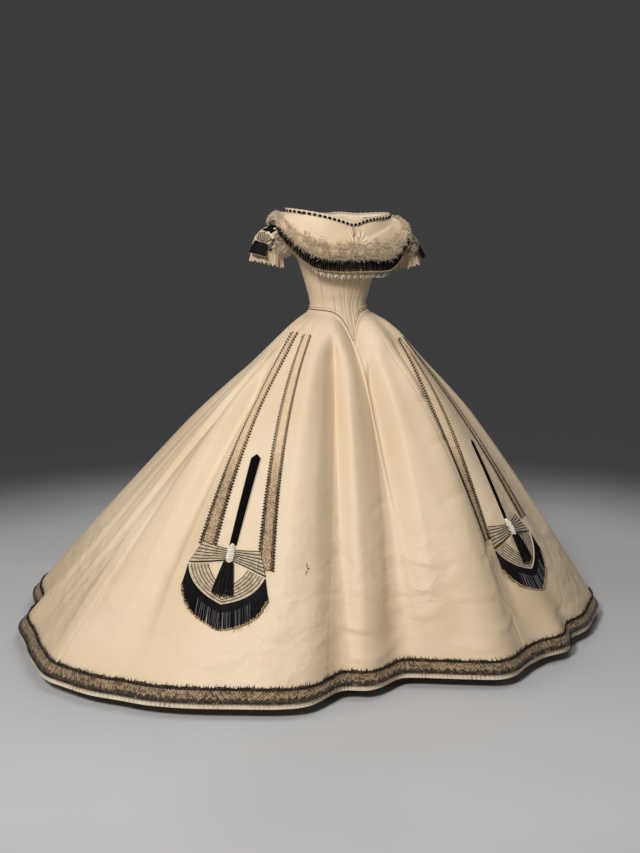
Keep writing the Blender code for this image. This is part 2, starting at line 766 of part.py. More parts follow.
def bertha_fringes(look):
    """Black silk fringe under the bertha's lower edge, in front and behind."""
    for name, start, end, count in (
        ("bertha_fringe_front", -76, 76, FRINGE_FRONT_STRANDS),
        ("bertha_fringe_back", 108, 252, FRINGE_BACK_STRANDS),
    ):
        angles = [start + (end - start) * k / count for k in range(count + 1)]
        roots = []
        backs = []
        ups = []
        for angle in angles:
            edge = bertha_facet(angle, 1.0)
            roots.append(edge - np.array([0, 0, EDGE_CLEAR + FRINGE_STRIP]) + polar(angle, 0.0005, 0))
            backs.append(-polar(angle, 0.0020, 0))
            ups.append(np.array([0, 0, FRINGE_STRIP]))
        ends = []
        for k in range(count):
            middle = (angles[k] + angles[k + 1]) / 2
            edge = (roots[k] + roots[k + 1]) / 2
            away = abs(turn_between(middle, 0 if end < 90 else 180))
            length = FRINGE_LENGTH * (1 - 0.40 * ease(away, 45, 76))
            ends.append(edge + polar(middle, 0.0045, -length))
        fringe(name, roots, backs, ups, ends, look)


def bertha_frills(look):
    """Cream lace that hangs in small waves behind the fringe, in front and behind."""
    for name, start, end in (("bertha_frill_front", -72, 72), ("bertha_frill_back", 112, 248)):
        steps = int((end - start) / FRILL_STEP)
        outer = []
        inner = []
        for k in range(steps + 1):
            angle = start + FRILL_STEP * k
            edge = bertha_facet(angle, 1.0) - np.array([0, 0, EDGE_CLEAR])
            away = abs(turn_between(angle, 0 if end < 90 else 180))
            length = FRILL_LENGTH * (1 - 0.62 * ease(away, 40, 72))
            wave = FRILL_WAVE * (-1) ** k
            shifts = ((-0.0032, 0.0), (-0.0055 + wave, 1.0))
            outer.append([edge + polar(angle, s, -length * f) for s, f in shifts])
            inner.append([edge + polar(angle, s - TRIM, -length * f) for s, f in shifts])
        wall(name, by_rows(outer), by_rows(inner), look)


def sleeve_point(share, turn, out, side):
    """A sleeve's surface: turn is 0 on top, 90 in front and 180 underneath. side is 1 or -1 in X."""
    values = [smooth_table(share, column(SLEEVE, 0), column(SLEEVE, k)) for k in range(1, 7)]
    x, y, z, tilt, up_radius, side_radius = values
    a = math.radians(tilt)
    t = math.radians(turn)
    up = np.array([math.sin(a), 0, math.cos(a)])
    if side > 0:
        z -= SHOULDER_SLIP * ease(share, 0.0, 0.6)
    point = np.array([x, y, z]) + up * math.cos(t) * (up_radius + out)
    point = point + np.array([0, -1, 0]) * math.sin(t) * (side_radius + out)
    point[0] *= side
    return point


def sleeves(silk, velvet, braid, black, lace):
    """Two short sleeves with their braid, velvet band, fringe and lace frill."""
    for word, side in (("left", 1), ("right", -1)):
        shares = column(SLEEVE, 0)
        turns = [360 * k / SLEEVE_SIDES for k in range(SLEEVE_SIDES)]
        outer = [[sleeve_point(s, t, 0, side) for t in turns] for s in shares]
        inner = [[sleeve_point(s, t, -SILK, side) for t in turns] for s in shares]
        wall(f"sleeve_{word}", outer, inner, silk, closed=True)

        for name, first, last, low, high, ribs, look in SLEEVE_TRIMS:
            spans = [low + (high - low) * k / 4 for k in range(5)]
            rows = [first + (last - first) * k / 4 for k in range(5)]
            rise = BRAID_RIB * ribs
            outer = [[sleeve_point(s, t, SLEEVE_TRIM_OUT + TRIM + rise * (k % 2), side) for t in spans]
                     for k, s in enumerate(rows)]
            inner = [[sleeve_point(s, t, SLEEVE_TRIM_OUT, side) for t in spans] for s in rows]
            wall(f"sleeve_{name}_{word}", outer, inner, velvet if look == "velvet" else braid)

        count = SLEEVE_STRANDS
        turns = [10 + 53 * k / count for k in range(count + 1)]
        out = SLEEVE_FRINGE_OUT
        low = out - SLEEVE_FRINGE_DEPTH
        roots = [sleeve_point(0.90, t, out, side) for t in turns]
        backs = [sleeve_point(0.90, t, low, side) - root for t, root in zip(turns, roots)]
        ups = [sleeve_point(0.855, t, out, side) - root for t, root in zip(turns, roots)]
        ends = []
        for k in range(count):
            middle = (turns[k] + turns[k + 1]) / 2
            edge = (roots[k] + roots[k + 1]) / 2
            fall = sleeve_point(1.0, middle, 0.012, side) - sleeve_point(0.90, middle, out, side)
            fall = fall / np.linalg.norm(fall) + np.array([0, 0, -0.45])
            ends.append(edge + fall / np.linalg.norm(fall) * SLEEVE_FRINGE)
        fringe(f"sleeve_fringe_{word}", roots, backs, ups, ends, black)

        outer = []
        inner = []
        for k in range(SLEEVE_FRILL_WAVES * 2):
            turn = 180 * k / SLEEVE_FRILL_WAVES
            edge = sleeve_point(1.0, turn, -0.0003, side)
            along = sleeve_point(1.0, turn, 0, side) - sleeve_point(0.94, turn, 0, side)
            along[0] = side * abs(along[0]) * 0.3
            along = np.array([along[0], 0, -0.02])
            along = along / np.linalg.norm(along)
            wave = 0.003 * (-1) ** k
            axis = sleeve_point(1.0, turn, 1, side) - sleeve_point(1.0, turn, 0, side)
            start = edge + along * LAYER
            lines = ((0.0, 0.0), (1.0, wave * 1.6))
            outer.append([start + along * SLEEVE_FRILL * f + axis * w for f, w in lines])
            inner.append([start + along * SLEEVE_FRILL * f + axis * (w - TRIM) for f, w in lines])
        wall(f"sleeve_frill_{word}", by_rows(outer), by_rows(inner), lace, closed=True)


def hem_trims(lace, silk):
    """A band of black lace on the hem and the narrow pleating that shows below it, in two halves each."""
    halves = (("front", -90, 90), ("back", 90, 270))
    for word, start, end in halves:
        angles = [start + SKIRT_STEP * k for k in range(int((end - start) / SKIRT_STEP) + 1)]
        outer = []
        inner = []
        frill_outer = []
        frill_inner = []
        for k, angle in enumerate(angles):
            shift = 0.0
            if k == 0:
                shift = 0.02
            if k == len(angles) - 1:
                shift = -0.02
            angle = angle + shift
            wave = (-1) ** k
            header_wave = (-1) ** (k // 2)
            top = skirt_point(angle, LACE_TOP_Z)
            low = skirt_point(angle, HEM_Z)
            out = polar(angle, 1, 0)
            head = skirt_point(angle, LACE_TOP_Z + HEADER_RISE)
            faces = (
                (head + out * (0.0052 + HEADER_WAVE * header_wave), TRIM),
                (top + out * (LACE_OUT + 0.0022), TRIM),
                (low + out * (LACE_OUT + 0.0030), TRIM),
            )
            outer.append([p for p, t in faces])
            inner.append([p - out * t for p, t in faces])
            upper = low - np.array([0, 0, SEAM])
            lower = upper + np.array([0, 0, PLEATING_Z - HEM_Z]) + out * (0.002 + PLEATING_WAVE * wave)
            frill_outer.append([upper, lower])
            frill_inner.append([upper - out * SILK, lower - out * SILK])
        wall(f"hem_lace_{word}", by_rows(outer), by_rows(inner), lace)
        wall(f"hem_pleating_{word}", by_rows(frill_outer), by_rows(frill_inner), silk)


def band_heights(angle, top, end):
    """Heights between two depths, which take in the skirt's own rows."""
    rows = [-top] + [z for z in skirt_heights(angle) if -end < z < -top] + [-end]
    heights = [rows[0]]
    for high, low in zip(rows, rows[1:]):
        steps = math.ceil((high - low) / BAND_ROW)
        heights += [high + (low - high) * (k + 1) / steps for k in range(steps)]
    return heights


def lace_bands(look):
    """Four bands of lace that run down the skirt to the ornaments."""
    for name, top_angle, top, end_angle, end, top_width, end_width, out in BANDS:
        outer = []
        inner = []
        for k, z in enumerate(band_heights(top_angle, top, end)):
            share = (-z - top) / (end - top)
            angle = top_angle + (end_angle - top_angle) * share**0.6
            width = top_width + (end_width - top_width) * share
            radius = math.hypot(*skirt_point(angle, z)[:2])
            picot = 1.0 + 0.05 * (-1) ** k
            half = math.degrees(width / 2 / radius) * picot
            places = [angle + half * across for across in BAND_SPOTS]
            outer.append([on_skirt(a, z, out) for a in places])
            inner.append([on_skirt(a, z, out - TRIM) for a in places])
        wall(name, outer, inner, look)


def ornament_point(row, u, v, out, leaning=True):
    """A point of an ornament, u across it and v down the skirt from its knob, in metres."""
    _, angle, below, _, lean, swing, _, _ = row
    if leaning:
        a = math.radians(lean)
        u, v = u * math.cos(a) + v * swing, v * math.cos(a) + u * math.sin(a)
    z = -(below + v * SLOPE_SHARE)
    radius = math.hypot(*skirt_point(angle, z)[:2])
    return on_skirt(angle + math.degrees(u / radius), z, out)


def bezier(a, b, c, t):
    a, b, c = (np.array(p) for p in (a, b, c))
    return a * (1 - t) ** 2 + b * 2 * t * (1 - t) + c * t * t


def fan_outer(share):
    """The fan's outer edge, from -1 at one wing to 1 at the other, with its point at 0."""
    u, v = bezier((FAN_HALF_WIDTH, 0.050), (FAN_HALF_WIDTH * 0.82, 0.116), (0, FAN_POINT), 1 - abs(share))
    return (u if share >= 0 else -u), v


def fan_inner(share):
    u, v = bezier((0.055, 0.036), (0.037, 0.076), (0, 0.100), 1 - abs(share))
    return (u if share >= 0 else -u), v


def ornaments(velvet, braid, black, white):
    """Two ornaments: a velvet stem, a knob, a tassel, a bow and an arc of braid rows, and a fringe."""
    for row in ORNAMENTS:
        side = row[0]
        bow_out = row[7]
        arc_out = bow_out - ARC_DROP
        tassel_out = bow_out + TASSEL_OUT
        ribs = [k / (2 * BRAID_ROWS) for k in range(2 * BRAID_ROWS + 1)]

        steps = 7
        outer = []
        inner = []
        for k in range(steps):
            share = k / (steps - 1)
            v = -STEM_LENGTH + (STEM_LENGTH - KNOB_LENGTH / 2 - LAYER) * share
            pointed = 0.25 if k == 0 else 1.0
            half = (STEM_WIDTH + (STEM_END_WIDTH - STEM_WIDTH) * share) / 2 * pointed
            radius = math.hypot(*skirt_point(row[1], -row[2])[:2])
            middle = math.radians(turn_between(row[3], row[1])) * radius * (-v / STEM_LENGTH) * 0.86
            spots = [middle + u for u in (-half, 0, half)]
            outer.append([ornament_point(row, u, v, STEM_OUT + SILK, False) for u in spots])
            inner.append([ornament_point(row, u, v, STEM_OUT, False) for u in spots])
        wall(f"ornament_stem_{side}", outer, inner, velvet)

        spans = (-1.0, -0.72, -0.45, -0.13, 0.13, 0.45, 0.72, 1.0)
        outer = []
        inner = []
        for k, rib in enumerate(ribs):
            line = []
            under = []
            for span in spans:
                spread = (abs(span) - 0.13) / 0.87
                top = -0.015 - 0.009 * spread
                low = 0.018 + 0.026 * spread
                v = top + (low - top) * rib
                u = span * FAN_HALF_WIDTH * (1 - 0.27 * spread * (1 - rib))
                lift = BRAID_RIB * (k % 2)
                line.append(ornament_point(row, u, v, bow_out + TRIM + lift))
                under.append(ornament_point(row, u, v, bow_out))
            outer.append(line)
            inner.append(under)
        wall(f"ornament_bow_{side}", outer, inner, braid)

        spans = (-1.0, -0.72, -0.42, -0.16, 0.0, 0.16, 0.42, 0.72, 1.0)
        outer = []
        inner = []
        for k, rib in enumerate(ribs):
            line = []
            under = []
            for span in spans:
                u0, v0 = fan_inner(span)
                u1, v1 = fan_outer(span)
                u = u0 + (u1 - u0) * rib
                v = v0 + (v1 - v0) * rib
                lift = BRAID_RIB * (k % 2)
                line.append(ornament_point(row, u, v, arc_out + TRIM + lift))
                under.append(ornament_point(row, u, v, arc_out))
            outer.append(line)
            inner.append(under)
        wall(f"ornament_arc_{side}", outer, inner, braid)

        sections = []
        for share in (0.0, 0.12, 0.5, 0.88, 1.0):
            v = -KNOB_LENGTH / 2 + KNOB_LENGTH * share
            full = 0.45 + 0.55 * math.sin(math.pi * share) ** 0.5
            half = KNOB_WIDTH / 2 * full
            low = bow_out + TRIM + BRAID_RIB + LAYER
            high = low + KNOB_THICKNESS * full
            sections.append([
                ornament_point(row, -half, v, low),
                ornament_point(row, -half * 0.8, v, (low + high) / 2 + 0.001),
                ornament_point(row, 0, v, high),
                ornament_point(row, half * 0.8, v, (low + high) / 2 + 0.001),
                ornament_point(row, half, v, low),
            ])
        roll(f"ornament_knob_{side}", sections, white)

        roots = []
        backs = []
        ups = []
        start = KNOB_LENGTH / 2 + 0.018
        for k in range(TASSEL_STRANDS + 1):
            u = TASSEL_WIDTH * (k / TASSEL_STRANDS - 0.5)
            front = ornament_point(row, u, start, tassel_out + TASSEL_DEPTH)
            roots.append(front)
            backs.append(ornament_point(row, u, start, tassel_out) - front)
            upper = KNOB_LENGTH / 2 + LAYER
            ups.append(ornament_point(row, u * 0.8, upper, tassel_out + TASSEL_DEPTH) - front)
        ends = []
        for k in range(TASSEL_STRANDS):
            u = TASSEL_FLARE * ((k + 0.5) / TASSEL_STRANDS - 0.5)
            ends.append(ornament_point(row, u, KNOB_LENGTH / 2 + TASSEL_LENGTH, tassel_out + 0.0015))
        fringe(f"ornament_tassel_{side}", roots, backs, ups, ends, black, taper=1.2)

        count = ORNAMENT_STRANDS
        roots = []
        backs = []
        ups = []
        edges = [fan_outer(2 * k / count - 1) for k in range(count + 1)]
        outs = []
        for k in range(count + 1):
            u0, v0 = edges[max(k - 1, 0)]
            u1, v1 = edges[min(k + 1, count)]
            normal = np.array([-(v1 - v0), u1 - u0])
            normal = normal / np.linalg.norm(normal)
            outs.append(normal)
        for k, (u, v) in enumerate(edges):
            near = np.array([u, v]) + outs[k] * 0.0008
            far = near + outs[k] * 0.004
            front = ornament_point(row, far[0], far[1], arc_out + 0.0020)
            roots.append(front)
            backs.append(ornament_point(row, far[0], far[1], arc_out) - front)
            ups.append(ornament_point(row, near[0], near[1], arc_out + 0.0020) - front)
        ends = []
        for k in range(count):
            u, v = (np.array(edges[k]) + np.array(edges[k + 1])) / 2
            normal = outs[k] + outs[k + 1]
            aim = normal / np.linalg.norm(normal) * 0.22 + np.array([row[6], 1.0])
            aim = aim / np.linalg.norm(aim)
            share = abs((k + 0.5) / count * 2 - 1)
            length = ORNAMENT_FRINGE * (1 - 0.12 * ease(share, 0.55, 1.0))
            ends.append(ornament_point(row, u + aim[0] * length, v + aim[1] * length, arc_out))
        fringe(f"ornament_fringe_{side}", roots, backs, ups, ends, black)


def build():
    clear_scene()
    silk = material("ivory_silk", IVORY_SILK, 0.42, 0.3)
    lace = material("cream_lace", CREAM_LACE, 0.80, 0.2)
    black = material("black_silk", BLACK_SILK, 0.45, 0.2)
    velvet = material("black_velvet", BLACK_VELVET, 0.85, 0.8)
    black_lace = material("black_lace", BLACK_LACE, 0.80)
    braid = material("cream_braid", BRAID_CREAM, 0.60)
    white = material("white_knob", KNOB_WHITE, 0.75)
    skirt_gores(silk)
    bodice_panels(silk)
    basque_piping(silk)
    neck_band(lace)
    bertha_pieces(silk)
    ruche(lace)
    bertha_fringes(black)
    bertha_frills(lace)
    sleeves(silk, velvet, braid, black, lace)
    hem_trims(black_lace, silk)
    lace_bands(black_lace)
    ornaments(velvet, braid, black, white)


build()
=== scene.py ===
"""An off-the-shoulder silk ball gown of the 1860s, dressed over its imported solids.

Metres, +Z up, the origin at the centre of the waist, the wearer's front towards -Y and left side +X.
Angles round the body are in degrees, 0 at the front and 90 at the wearer's left.
"""

import math

import bpy
import numpy as np
from mathutils import Matrix, Vector


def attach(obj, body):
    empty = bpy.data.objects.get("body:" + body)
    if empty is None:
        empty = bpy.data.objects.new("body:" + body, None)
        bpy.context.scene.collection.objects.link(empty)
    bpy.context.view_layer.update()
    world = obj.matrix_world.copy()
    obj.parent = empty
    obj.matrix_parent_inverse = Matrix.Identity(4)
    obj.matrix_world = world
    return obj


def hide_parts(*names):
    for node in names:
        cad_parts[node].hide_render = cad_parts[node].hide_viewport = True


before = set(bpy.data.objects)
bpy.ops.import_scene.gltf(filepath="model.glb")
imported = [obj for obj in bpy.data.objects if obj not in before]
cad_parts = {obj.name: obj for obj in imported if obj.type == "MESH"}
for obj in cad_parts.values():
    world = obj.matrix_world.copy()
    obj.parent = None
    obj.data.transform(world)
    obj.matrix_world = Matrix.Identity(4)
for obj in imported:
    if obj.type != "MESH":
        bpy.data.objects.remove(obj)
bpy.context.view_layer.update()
rng = np.random.default_rng(1860)

# The solids' own sizes, repeated here.
HEM_Z = -0.976
# Degrees round the hem from the depth of a pleat to its ridge.
PLEAT_ANGLE = 1 / 2.6
LACE_TOP_Z = -0.946
SHOULDER_SLIP = 0.014
UNDERARM_Z = 0.180
FLOOR_Z = -1.020
SILK = 0.0020
UNDER_BASQUE = 0.0013
# Columns: height, side, front, back.
BODICE = (
    (-0.120, 0.100, 0.129, 0.096), (-0.050, 0.093, 0.101, 0.084), (0.004, 0.089, 0.079, 0.075),
    (0.055, 0.101, 0.091, 0.079), (0.105, 0.117, 0.107, 0.084), (0.150, 0.134, 0.119, 0.089),
    (0.180, 0.147, 0.121, 0.093), (0.240, 0.158, 0.117, 0.096), (0.300, 0.161, 0.112, 0.097),
)
# Columns: angle, radius, height, for one side.
NECK = (
    (0, 0.1200, 0.250), (20, 0.1235, 0.262), (45, 0.1370, 0.277), (70, 0.1585, 0.288),
    (90, 0.1670, 0.292), (115, 0.1520, 0.291), (145, 0.1180, 0.284), (180, 0.1060, 0.276),
)
BERTHA_EDGE = (
    (0, 0.1460, 0.142), (25, 0.1500, 0.143), (45, 0.1660, 0.153), (60, 0.1880, 0.182), (72, 0.2170, 0.230),
    (90, 0.1980, 0.264), (108, 0.2060, 0.248), (135, 0.1720, 0.206), (160, 0.1420, 0.188),
    (180, 0.1360, 0.184),
)
NECK_BAND_HEIGHT = 0.010
BERTHA_BULGE = 0.009
# Columns: angle, radius.
HEM = (
    (-180, 1.100), (-160, 1.090), (-140, 1.060), (-120, 1.010), (-100, 0.985), (-85, 0.995),
    (-70, 0.990), (-60, 0.965), (-52, 0.915), (-44, 0.875), (-33, 0.820), (-28, 0.790),
    (-23, 0.715), (-16, 0.688), (-7, 0.642), (0, 0.648), (8, 0.700), (14, 0.738),
    (24, 0.745), (31, 0.748), (38, 0.756), (46, 0.768), (56, 0.797), (70, 0.825),
    (85, 0.860), (100, 0.910), (120, 0.985), (140, 1.050), (160, 1.085), (180, 1.100),
)
SPREAD_POWER = 0.80
SPREAD_POWER_RIGHT = 0.93
PUFF = 0.009
# Columns: top angle, hem angle, half width, height, start, full, share left at the hem.
FOLDS = (
    (-170, -172, 6.0, 0.028, 0.10, 0.45, 1.0), (-160, -163, 5.0, -0.026, 0.08, 0.35, 0.8),
    (-148, -150, 6.0, 0.030, 0.10, 0.45, 1.0), (-136, -139, 5.0, -0.030, 0.08, 0.30, 0.8),
    (-122, -126, 6.0, 0.026, 0.10, 0.40, 1.0), (-108, -113, 5.0, -0.030, 0.08, 0.30, 0.8),
    (-94, -101, 5.5, 0.020, 0.10, 0.40, 0.6), (-80, -91, 5.5, -0.045, 0.08, 0.26, 0.15),
    (-75, -76, 4.5, 0.018, 0.08, 0.26, 0.8), (-70, -60, 4.5, -0.036, 0.10, 0.28, 0.4),
    (-56, -52, 7.0, 0.012, 0.08, 0.30, 0.5), (-41, -32, 6.0, 0.026, 0.03, 0.14, 0.5),
    (-29, -22, 4.5, -0.034, 0.02, 0.12, 0.6), (-12, -15, 6.0, 0.014, 0.04, 0.15, 0.6),
    (10, -7, 5.0, -0.030, 0.04, 0.15, 0.7), (33, 15, 6.0, 0.026, 0.04, 0.20, 0.7),
    (43, 25, 4.5, -0.022, 0.05, 0.20, 0.5), (54, 38, 5.5, 0.006, 0.08, 0.30, 0.4),
    (31, 31, 4.0, -0.012, 0.84, 0.99, 1.0), (38, 38, 4.0, 0.012, 0.84, 0.99, 1.0),
    (47, 47, 4.5, -0.018, 0.84, 0.99, 1.0), (74, 70, 6.0, 0.020, 0.10, 0.35, 1.0),
    (86, 84, 5.0, -0.028, 0.08, 0.30, 0.8), (99, 98, 6.0, 0.024, 0.10, 0.40, 1.0),
    (112, 112, 5.0, -0.030, 0.08, 0.30, 0.8), (126, 127, 6.0, 0.028, 0.10, 0.40, 1.0),
    (139, 140, 5.0, -0.028, 0.08, 0.35, 0.8), (151, 152, 6.0, 0.030, 0.10, 0.45, 1.0),
    (163, 165, 5.0, -0.026, 0.08, 0.35, 0.8), (174, 176, 5.0, 0.020, 0.10, 0.45, 1.0),
)
# Crisp lines along the folds' ridges and valleys. Columns: top angle, hem angle, half width, height.
LINES = (
    (-69, -57.5, 0.9, 0.008), (-72.5, -60.5, 1.5, -0.009), (-76, -65, 1.2, 0.004), (-79.5, -73, 1.3, -0.007),
    (-83, -78, 0.9, 0.009), (-87, -84, 1.5, -0.009), (-92, -91, 1.0, 0.008), (-97, -97, 1.3, -0.007),
    (-103, -104, 1.0, 0.007), (-33, -27, 1.6, 0.004), (-27, -20, 1.5, -0.004), (-16, -16, 1.8, 0.003),
    (4, -10, 1.6, -0.004), (16, 2, 1.8, 0.003), (37, 19, 1.6, 0.004), (45, 27, 1.5, -0.004),
    (70, 66, 1.6, 0.005), (80, 78, 1.5, -0.006), (92, 92, 1.8, 0.006),
    (106, 106, 1.6, -0.006), (119, 120, 1.8, 0.006), (132, 133, 1.6, -0.006), (145, 146, 1.8, 0.006),
    (158, 159, 1.6, -0.005), (170, 171, 1.8, 0.006), (-112, -115, 1.6, -0.006), (-125, -128, 1.8, 0.006),
    (-141, -143, 1.6, -0.006), (-154, -156, 1.8, 0.006), (-165, -167, 1.6, -0.005), (-176, -177, 1.8, 0.005),
)
# Columns: angle, half width, height, share, half length.
PUFFS = (
    (-24, 11.0, 0.014, 0.055, 0.045), (26, 12.0, 0.016, 0.055, 0.045),
    (-62, 14.0, 0.008, 0.060, 0.050), (66, 14.0, 0.008, 0.060, 0.050),
)
WAIST_GATHER = 0.0045
GORES = (
    ("skirt_front", -25, 25), ("skirt_side_front_left", 25, 75), ("skirt_side_back_left", 75, 125),
    ("skirt_back_left", 125, 180), ("skirt_back_right", -180, -125),
    ("skirt_side_back_right", -125, -75), ("skirt_side_front_right", -75, -25),
)
# Creases of the silk, each from one point to another.
# Columns: angle, depth, angle, depth, half width, height.
CREASES = (
    (24, 0.279, 41, 0.268, 0.007, -0.0035), (19, 0.402, 32, 0.383, 0.006, -0.0025),
    (15, 0.550, 24, 0.530, 0.008, -0.0030), (-10, 0.566, -2, 0.550, 0.007, -0.0022),
    (-27, 0.716, -17, 0.742, 0.006, 0.0016), (-17, 0.742, -4, 0.768, 0.005, 0.0014),
    (-4, 0.768, 4, 0.752, 0.006, 0.0022), (4, 0.752, 13, 0.786, 0.006, 0.0022),
    (13, 0.786, 22, 0.770, 0.006, 0.0016), (-42, 0.328, -40, 0.366, 0.004, -0.0016),
    (-42, 0.263, -39, 0.297, 0.004, -0.0014), (-72, 0.782, -65, 0.779, 0.008, 0.0026),
    (-76, 0.895, -69, 0.888, 0.009, 0.0024), (-59, 0.846, -54, 0.861, 0.009, -0.0028),
    (-67, 0.670, -61, 0.673, 0.007, -0.0020), (-68, 0.700, -59, 0.686, 0.010, 0.0026),
    (-94, 0.600, -82, 0.545, 0.008, 0.0024), (-87, 0.723, -79, 0.677, 0.009, -0.0024),
    (-25, 0.659, -20, 0.686, 0.010, -0.0034), (-24, 0.808, -15, 0.842, 0.010, 0.0028),
    (-22, 0.860, -14, 0.880, 0.009, -0.0024), (-5, 0.812, 3, 0.831, 0.009, 0.0024),
    (14, 0.796, 22, 0.836, 0.009, -0.0026), (16, 0.868, 25, 0.846, 0.008, 0.0026),
    (22, 0.703, 31, 0.690, 0.009, -0.0026), (3, 0.687, 12, 0.681, 0.010, 0.0018),
    (24, 0.780, 29, 0.900, 0.006, 0.0022), (6, 0.890, 15, 0.902, 0.010, 0.0022),
    (-20, 0.900, -8, 0.892, 0.010, 0.0028), (-50, 0.885, -42, 0.872, 0.009, 0.0022),
    (-38, 0.850, -30, 0.872, 0.009, -0.0020), (-44, 0.780, -36, 0.800, 0.008, 0.0014),
    (58, 0.700, 66, 0.722, 0.009, 0.0024), (68, 0.820, 77, 0.800, 0.010, -0.0026),
    (84, 0.640, 92, 0.660, 0.009, 0.0022), (96, 0.880, 108, 0.865, 0.010, 0.0026),
    (104, 0.560, 112, 0.575, 0.008, -0.0022), (120, 0.760, 131, 0.740, 0.010, 0.0028),
    (134, 0.900, 143, 0.880, 0.010, -0.0026), (150, 0.620, 158, 0.640, 0.009, 0.0024),
    (162, 0.820, 172, 0.838, 0.010, 0.0026), (-176, 0.700, -168, 0.716, 0.009, -0.0024),
    (-160, 0.880, -150, 0.862, 0.010, 0.0028), (-146, 0.600, -139, 0.618, 0.009, 0.0022),
    (-134, 0.800, -124, 0.786, 0.010, -0.0026), (-118, 0.900, -109, 0.884, 0.010, 0.0026),
    (-106, 0.660, -98, 0.676, 0.009, 0.0022), (40, 0.870, 48, 0.884, 0.009, 0.0022),
    (58, 0.880, 64, 0.862, 0.009, -0.0022), (120, 0.420, 124, 0.440, 0.007, 0.0018),
    (-148, 0.400, -143, 0.416, 0.007, -0.0018), (175, 0.480, 181, 0.496, 0.008, 0.0020),
)
# Columns: turn at the top, height, turn at the foot, height, for one side.
DARTS = ((14.0, 0.150, 3.2, -0.052), (27.0, 0.150, 11.0, -0.020), (41.0, 0.150, 27.0, -0.012))


def arrays(*values):
    return np.broadcast_arrays(*(np.asarray(value, float) for value in values))


def curve(table, number, value):
    """A smooth curve through one column of a table, read at an array of values."""
    x, y = np.array([(row[0], row[number]) for row in table], float).T
    value = np.asarray(value, float)
    last = len(x) - 1
    k = np.clip(np.searchsorted(x, value, side="right") - 1, 0, last - 1)
    span = x[k + 1] - x[k]
    u = np.clip((value - x[k]) / span, 0, 1)
    before = np.maximum(k - 1, 0)
    after = np.minimum(k + 2, last)
    slope_a = (y[k + 1] - y[before]) / (x[k + 1] - x[before]) * span
    slope_b = (y[after] - y[k]) / (x[after] - x[k]) * span
    return (
        (2 * u**3 - 3 * u**2 + 1) * y[k] + (u**3 - 2 * u**2 + u) * slope_a
        + (3 * u**2 - 2 * u**3) * y[k + 1] + (u**3 - u**2) * slope_b
    )


def ease(value, start, end):
    u = np.clip((np.asarray(value, float) - start) / (end - start), 0, 1)
    return u * u * (3 - 2 * u)


def steps(count):
    return np.linspace(0, 1, count)


def sine(degrees):
    return np.sin(np.radians(degrees))


def arch(across):
    """The height of a half circle, with across from -1 to 1."""
    return np.sqrt(np.maximum(1 - across**2, 0))


def turn_between(angle, other):
    return (np.asarray(angle, float) - other + 180.0) % 360.0 - 180.0


def polar(angle, radius, z):
    a, radius, z = np.broadcast_arrays(np.radians(angle), radius, z)
    return np.stack([radius * np.sin(a), -radius * np.cos(a), z], axis=-1)


def unit(v):
    return v / np.maximum(np.linalg.norm(v, axis=-1, keepdims=True), 1e-12)


def basque_edge(angle):
    front = 0.092 * np.exp(-np.abs(turn_between(angle, 0)) / 12.0)
    back = 0.030 * np.exp(-np.abs(turn_between(angle, 180)) / 20.0)
    return -0.011 - front - back


def bodice_radius(angle, z):
    side, front, back = (curve(BODICE, k, z) for k in (1, 2, 3))
    a = np.radians(angle)
    depth = np.where(np.cos(a) > 0, front, back)
    oval = 1.0 / np.hypot(np.sin(a) / side, np.cos(a) / depth)
    across = (np.abs(turn_between(angle, 0)) - 30.0) / 18.0
    up = (np.asarray(z) - 0.190) / 0.050
    return oval + 0.010 * np.exp(-across**2 - up**2)


def around(table, angle, number):
    """A radius or a height from a table of one side, at any angle; heights slip a little at the left."""
    angle = turn_between(angle, 0)
    rows = ((-table[1][0], *table[1][1:]), *table, (360 - table[-2][0], *table[-2][1:]))
    value = curve(rows, number, np.abs(angle))
    if number == 1:
        return value
    return value - SHOULDER_SLIP * ease(angle, 15, 65) * (1 - ease(angle, 120, 165))


def bodice_top(angle):
    neck = around(NECK, angle, 2) - NECK_BAND_HEIGHT - 0.0005
    turn = np.abs(turn_between(angle, 0))
    armhole = ease(turn, 56, 72) * (1 - ease(turn, 106, 122))
    return neck + (UNDERARM_Z - neck) * armhole


def skirt_top(angle):
    edge = basque_edge(angle)
    radius = bodice_radius(angle, edge)
    slope = (basque_edge(angle + 1) - basque_edge(angle - 1)) / (radius * math.radians(2))
    return radius + PUFF, edge - 0.010 * np.minimum(np.hypot(1, slope), 3.0)


def creases_at(angle, z, radius):
    """Soft troughs and ridges along the table's lines."""
    total = np.zeros(np.broadcast(angle, z).shape)
    for a0, d0, a1, d1, width, height in CREASES:
        x = np.radians(turn_between(angle, (a0 + a1) / 2)) * radius
        y = -np.asarray(z) - (d0 + d1) / 2
        dx = math.radians(a1 - a0) * (0.2 + 0.75 * (d0 + d1) / 2)
        dy = d1 - d0
        length = math.hypot(dx, dy)
        along = (x * dx + y * dy) / length
        bow = 0.12 * length * (1 - (2 * along / length) ** 2) * (1 if height > 0 else -1)
        across = (y * dx - x * dy) / length - bow
        fade = np.exp(-((2 * along / length) ** 4))
        side = np.where(across > 0, 0.6, 1.5)
        total = total + 1.5 * height * fade * np.exp(-((across / (width * side)) ** 2))
    return total


